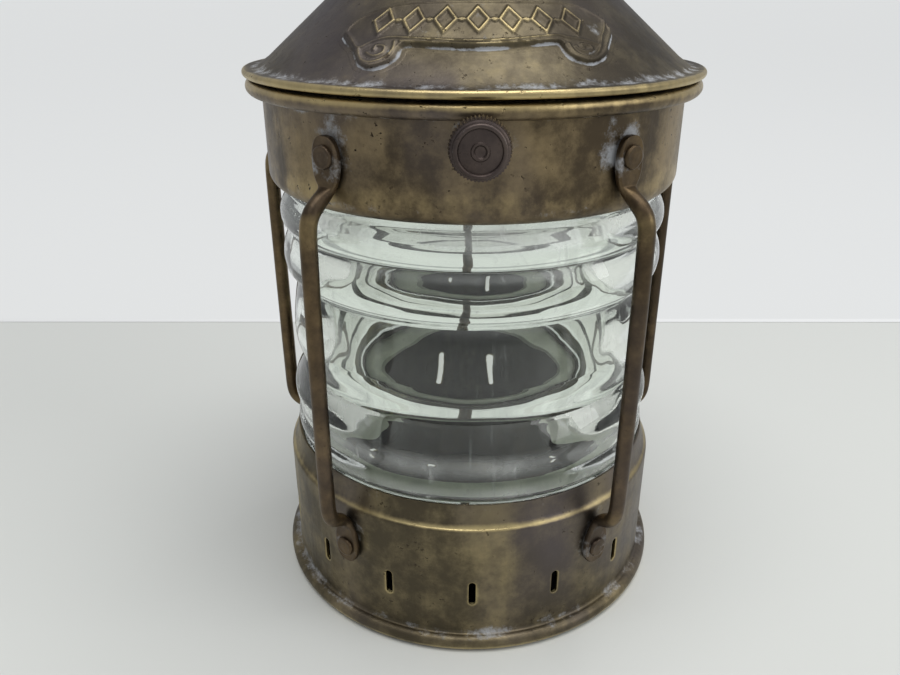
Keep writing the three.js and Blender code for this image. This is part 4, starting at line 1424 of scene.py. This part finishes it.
def bail():
    line = bail_line()

    def size_at(i):
        x, z = line[i]
        thick = 2 * WIRE_R * (1 + 0.025 * noise.noise(Vector((x * 0.1, z * 0.1, 4.0))))
        return thick, thick, 0

    bm = sweep(flat_stations(line, size_at))
    turn_all(bm, LEAN, "X")
    shift_all(bm, 0, 0, PIVOT_Z)
    weather(
        bm,
        lambda p: 0.2 + 0.35 * bump_at(p.x, 0, 30),
        lambda p: 0.3 * bump_at(abs(p.x), ARM_X, 6) * (p.z > PIVOT_Z - 8),
    )
    piece = finish_piece(bm, "bail", "bail", GUARD, ["bail_handle"], crease=80)
    smooth = piece.modifiers.new("round_off", "SUBSURF")
    smooth.levels = smooth.render_levels = 1
    return piece


ear(1, "right")
ear(-1, "left")
EAR_RIVET_Z = sum(c.z for c in size_of("ear_rivet_right")) / 2
rivet("ear_rivet_right", NECK_OUT, EAR_RIVET_Z, math.pi / 2, 2.5, 0.66, HOOD)
rivet("ear_rivet_left", NECK_OUT, EAR_RIVET_Z, -math.pi / 2, 2.5, 0.66, HOOD)
bail()
print("ears and bail made")

# %% [markdown]
# Floor and light: a pale board that meets a softly glowing sheet behind the lantern, a bright
# overcast sky all round, one wide soft lamp overhead and a smaller one at the right. The sheet lies
# level, so that the lantern can be looked at from behind as well.

# %% Stage and light


STAGE_HALF = 12.0


def strip(name, near, far, height, colour, glow=0.0):
    """A level strip of the stage between two distances from front to back, in metres."""
    bm = bmesh.new()
    bmesh.ops.create_grid(bm, x_segments=1, y_segments=1, size=1)
    for vert in bm.verts:
        vert.co = Vector((STAGE_HALF * vert.co.x, far if vert.co.y > 0 else near, height))
    mesh = bpy.data.meshes.new(name)
    bm.to_mesh(mesh)
    bm.free()
    material, tree, shader, place = new_material(name)
    feed(tree, shader, Base_Color=colour, Roughness=0.6)
    feed(tree, shader, Emission_Color=rgb(0.95, 0.97, 0.97), Emission_Strength=glow)
    mesh.materials.append(material)
    made = bpy.data.objects.new(name, mesh)
    bpy.context.collection.objects.link(made)


SEAM_Y = 0.206
strip("floor", -STAGE_HALF, SEAM_Y, 0, rgb(0.645, 0.655, 0.625))
strip("seam", SEAM_Y - 0.0055, SEAM_Y - 0.0005, 0.0002, rgb(0.80, 0.805, 0.80))
strip("sheet", SEAM_Y, STAGE_HALF, -0.0004, rgb(0.14, 0.14, 0.14), 0.62)


def soft_lamp(name, place, target, width, height, power):
    data = bpy.data.lights.new(name, "AREA")
    data.shape = "RECTANGLE"
    data.size, data.size_y = width, height
    data.energy = power
    lamp = bpy.data.objects.new(name, data)
    lamp.location = place
    lamp.rotation_mode = "QUATERNION"
    lamp.rotation_quaternion = (Vector(target) - Vector(place)).to_track_quat("-Z", "Y")
    bpy.context.collection.objects.link(lamp)


soft_lamp("overhead", (0.1, -0.15, 1.3), (0, 0, 0.1), 1.3, 0.8, 11)
soft_lamp("right_window", (1.1, -0.5, 0.75), (0, 0, 0.1), 0.9, 0.9, 5)
world = bpy.data.worlds.new("overcast")
world.use_nodes = True
world.node_tree.nodes["Background"].inputs[0].default_value = (0.95, 0.97, 1.0, 1)
world.node_tree.nodes["Background"].inputs[1].default_value = 0.5
bpy.context.scene.world = world
bpy.context.scene.view_settings.view_transform = "Standard"
print("stage set")

# %% [markdown]
# The engineering model's own pieces that stay in view get their finishes here.

# %% Finishes for the pieces kept from the frame
KEPT = {
    SOOTED: ["base_floor", "draught_baffle", "fount_clip_1", "fount_clip_2", "fount_clip_3"],
    BURNER: [
        "oil_fount", "filler_neck", "filler_cap", "fount_collar", "burner_body", "wick_tube",
        "flame_spreader", "wick_spindle",
    ],
    PACKING: ["lower_packing", "upper_packing"],
    COTTON: ["wick"],
}
for finish, names in KEPT.items():
    for name in names:
        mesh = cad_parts[name].data
        mesh.materials.clear()
        mesh.materials.append(finish)
print("finishes for", sum(len(names) for names in KEPT.values()), "kept pieces")
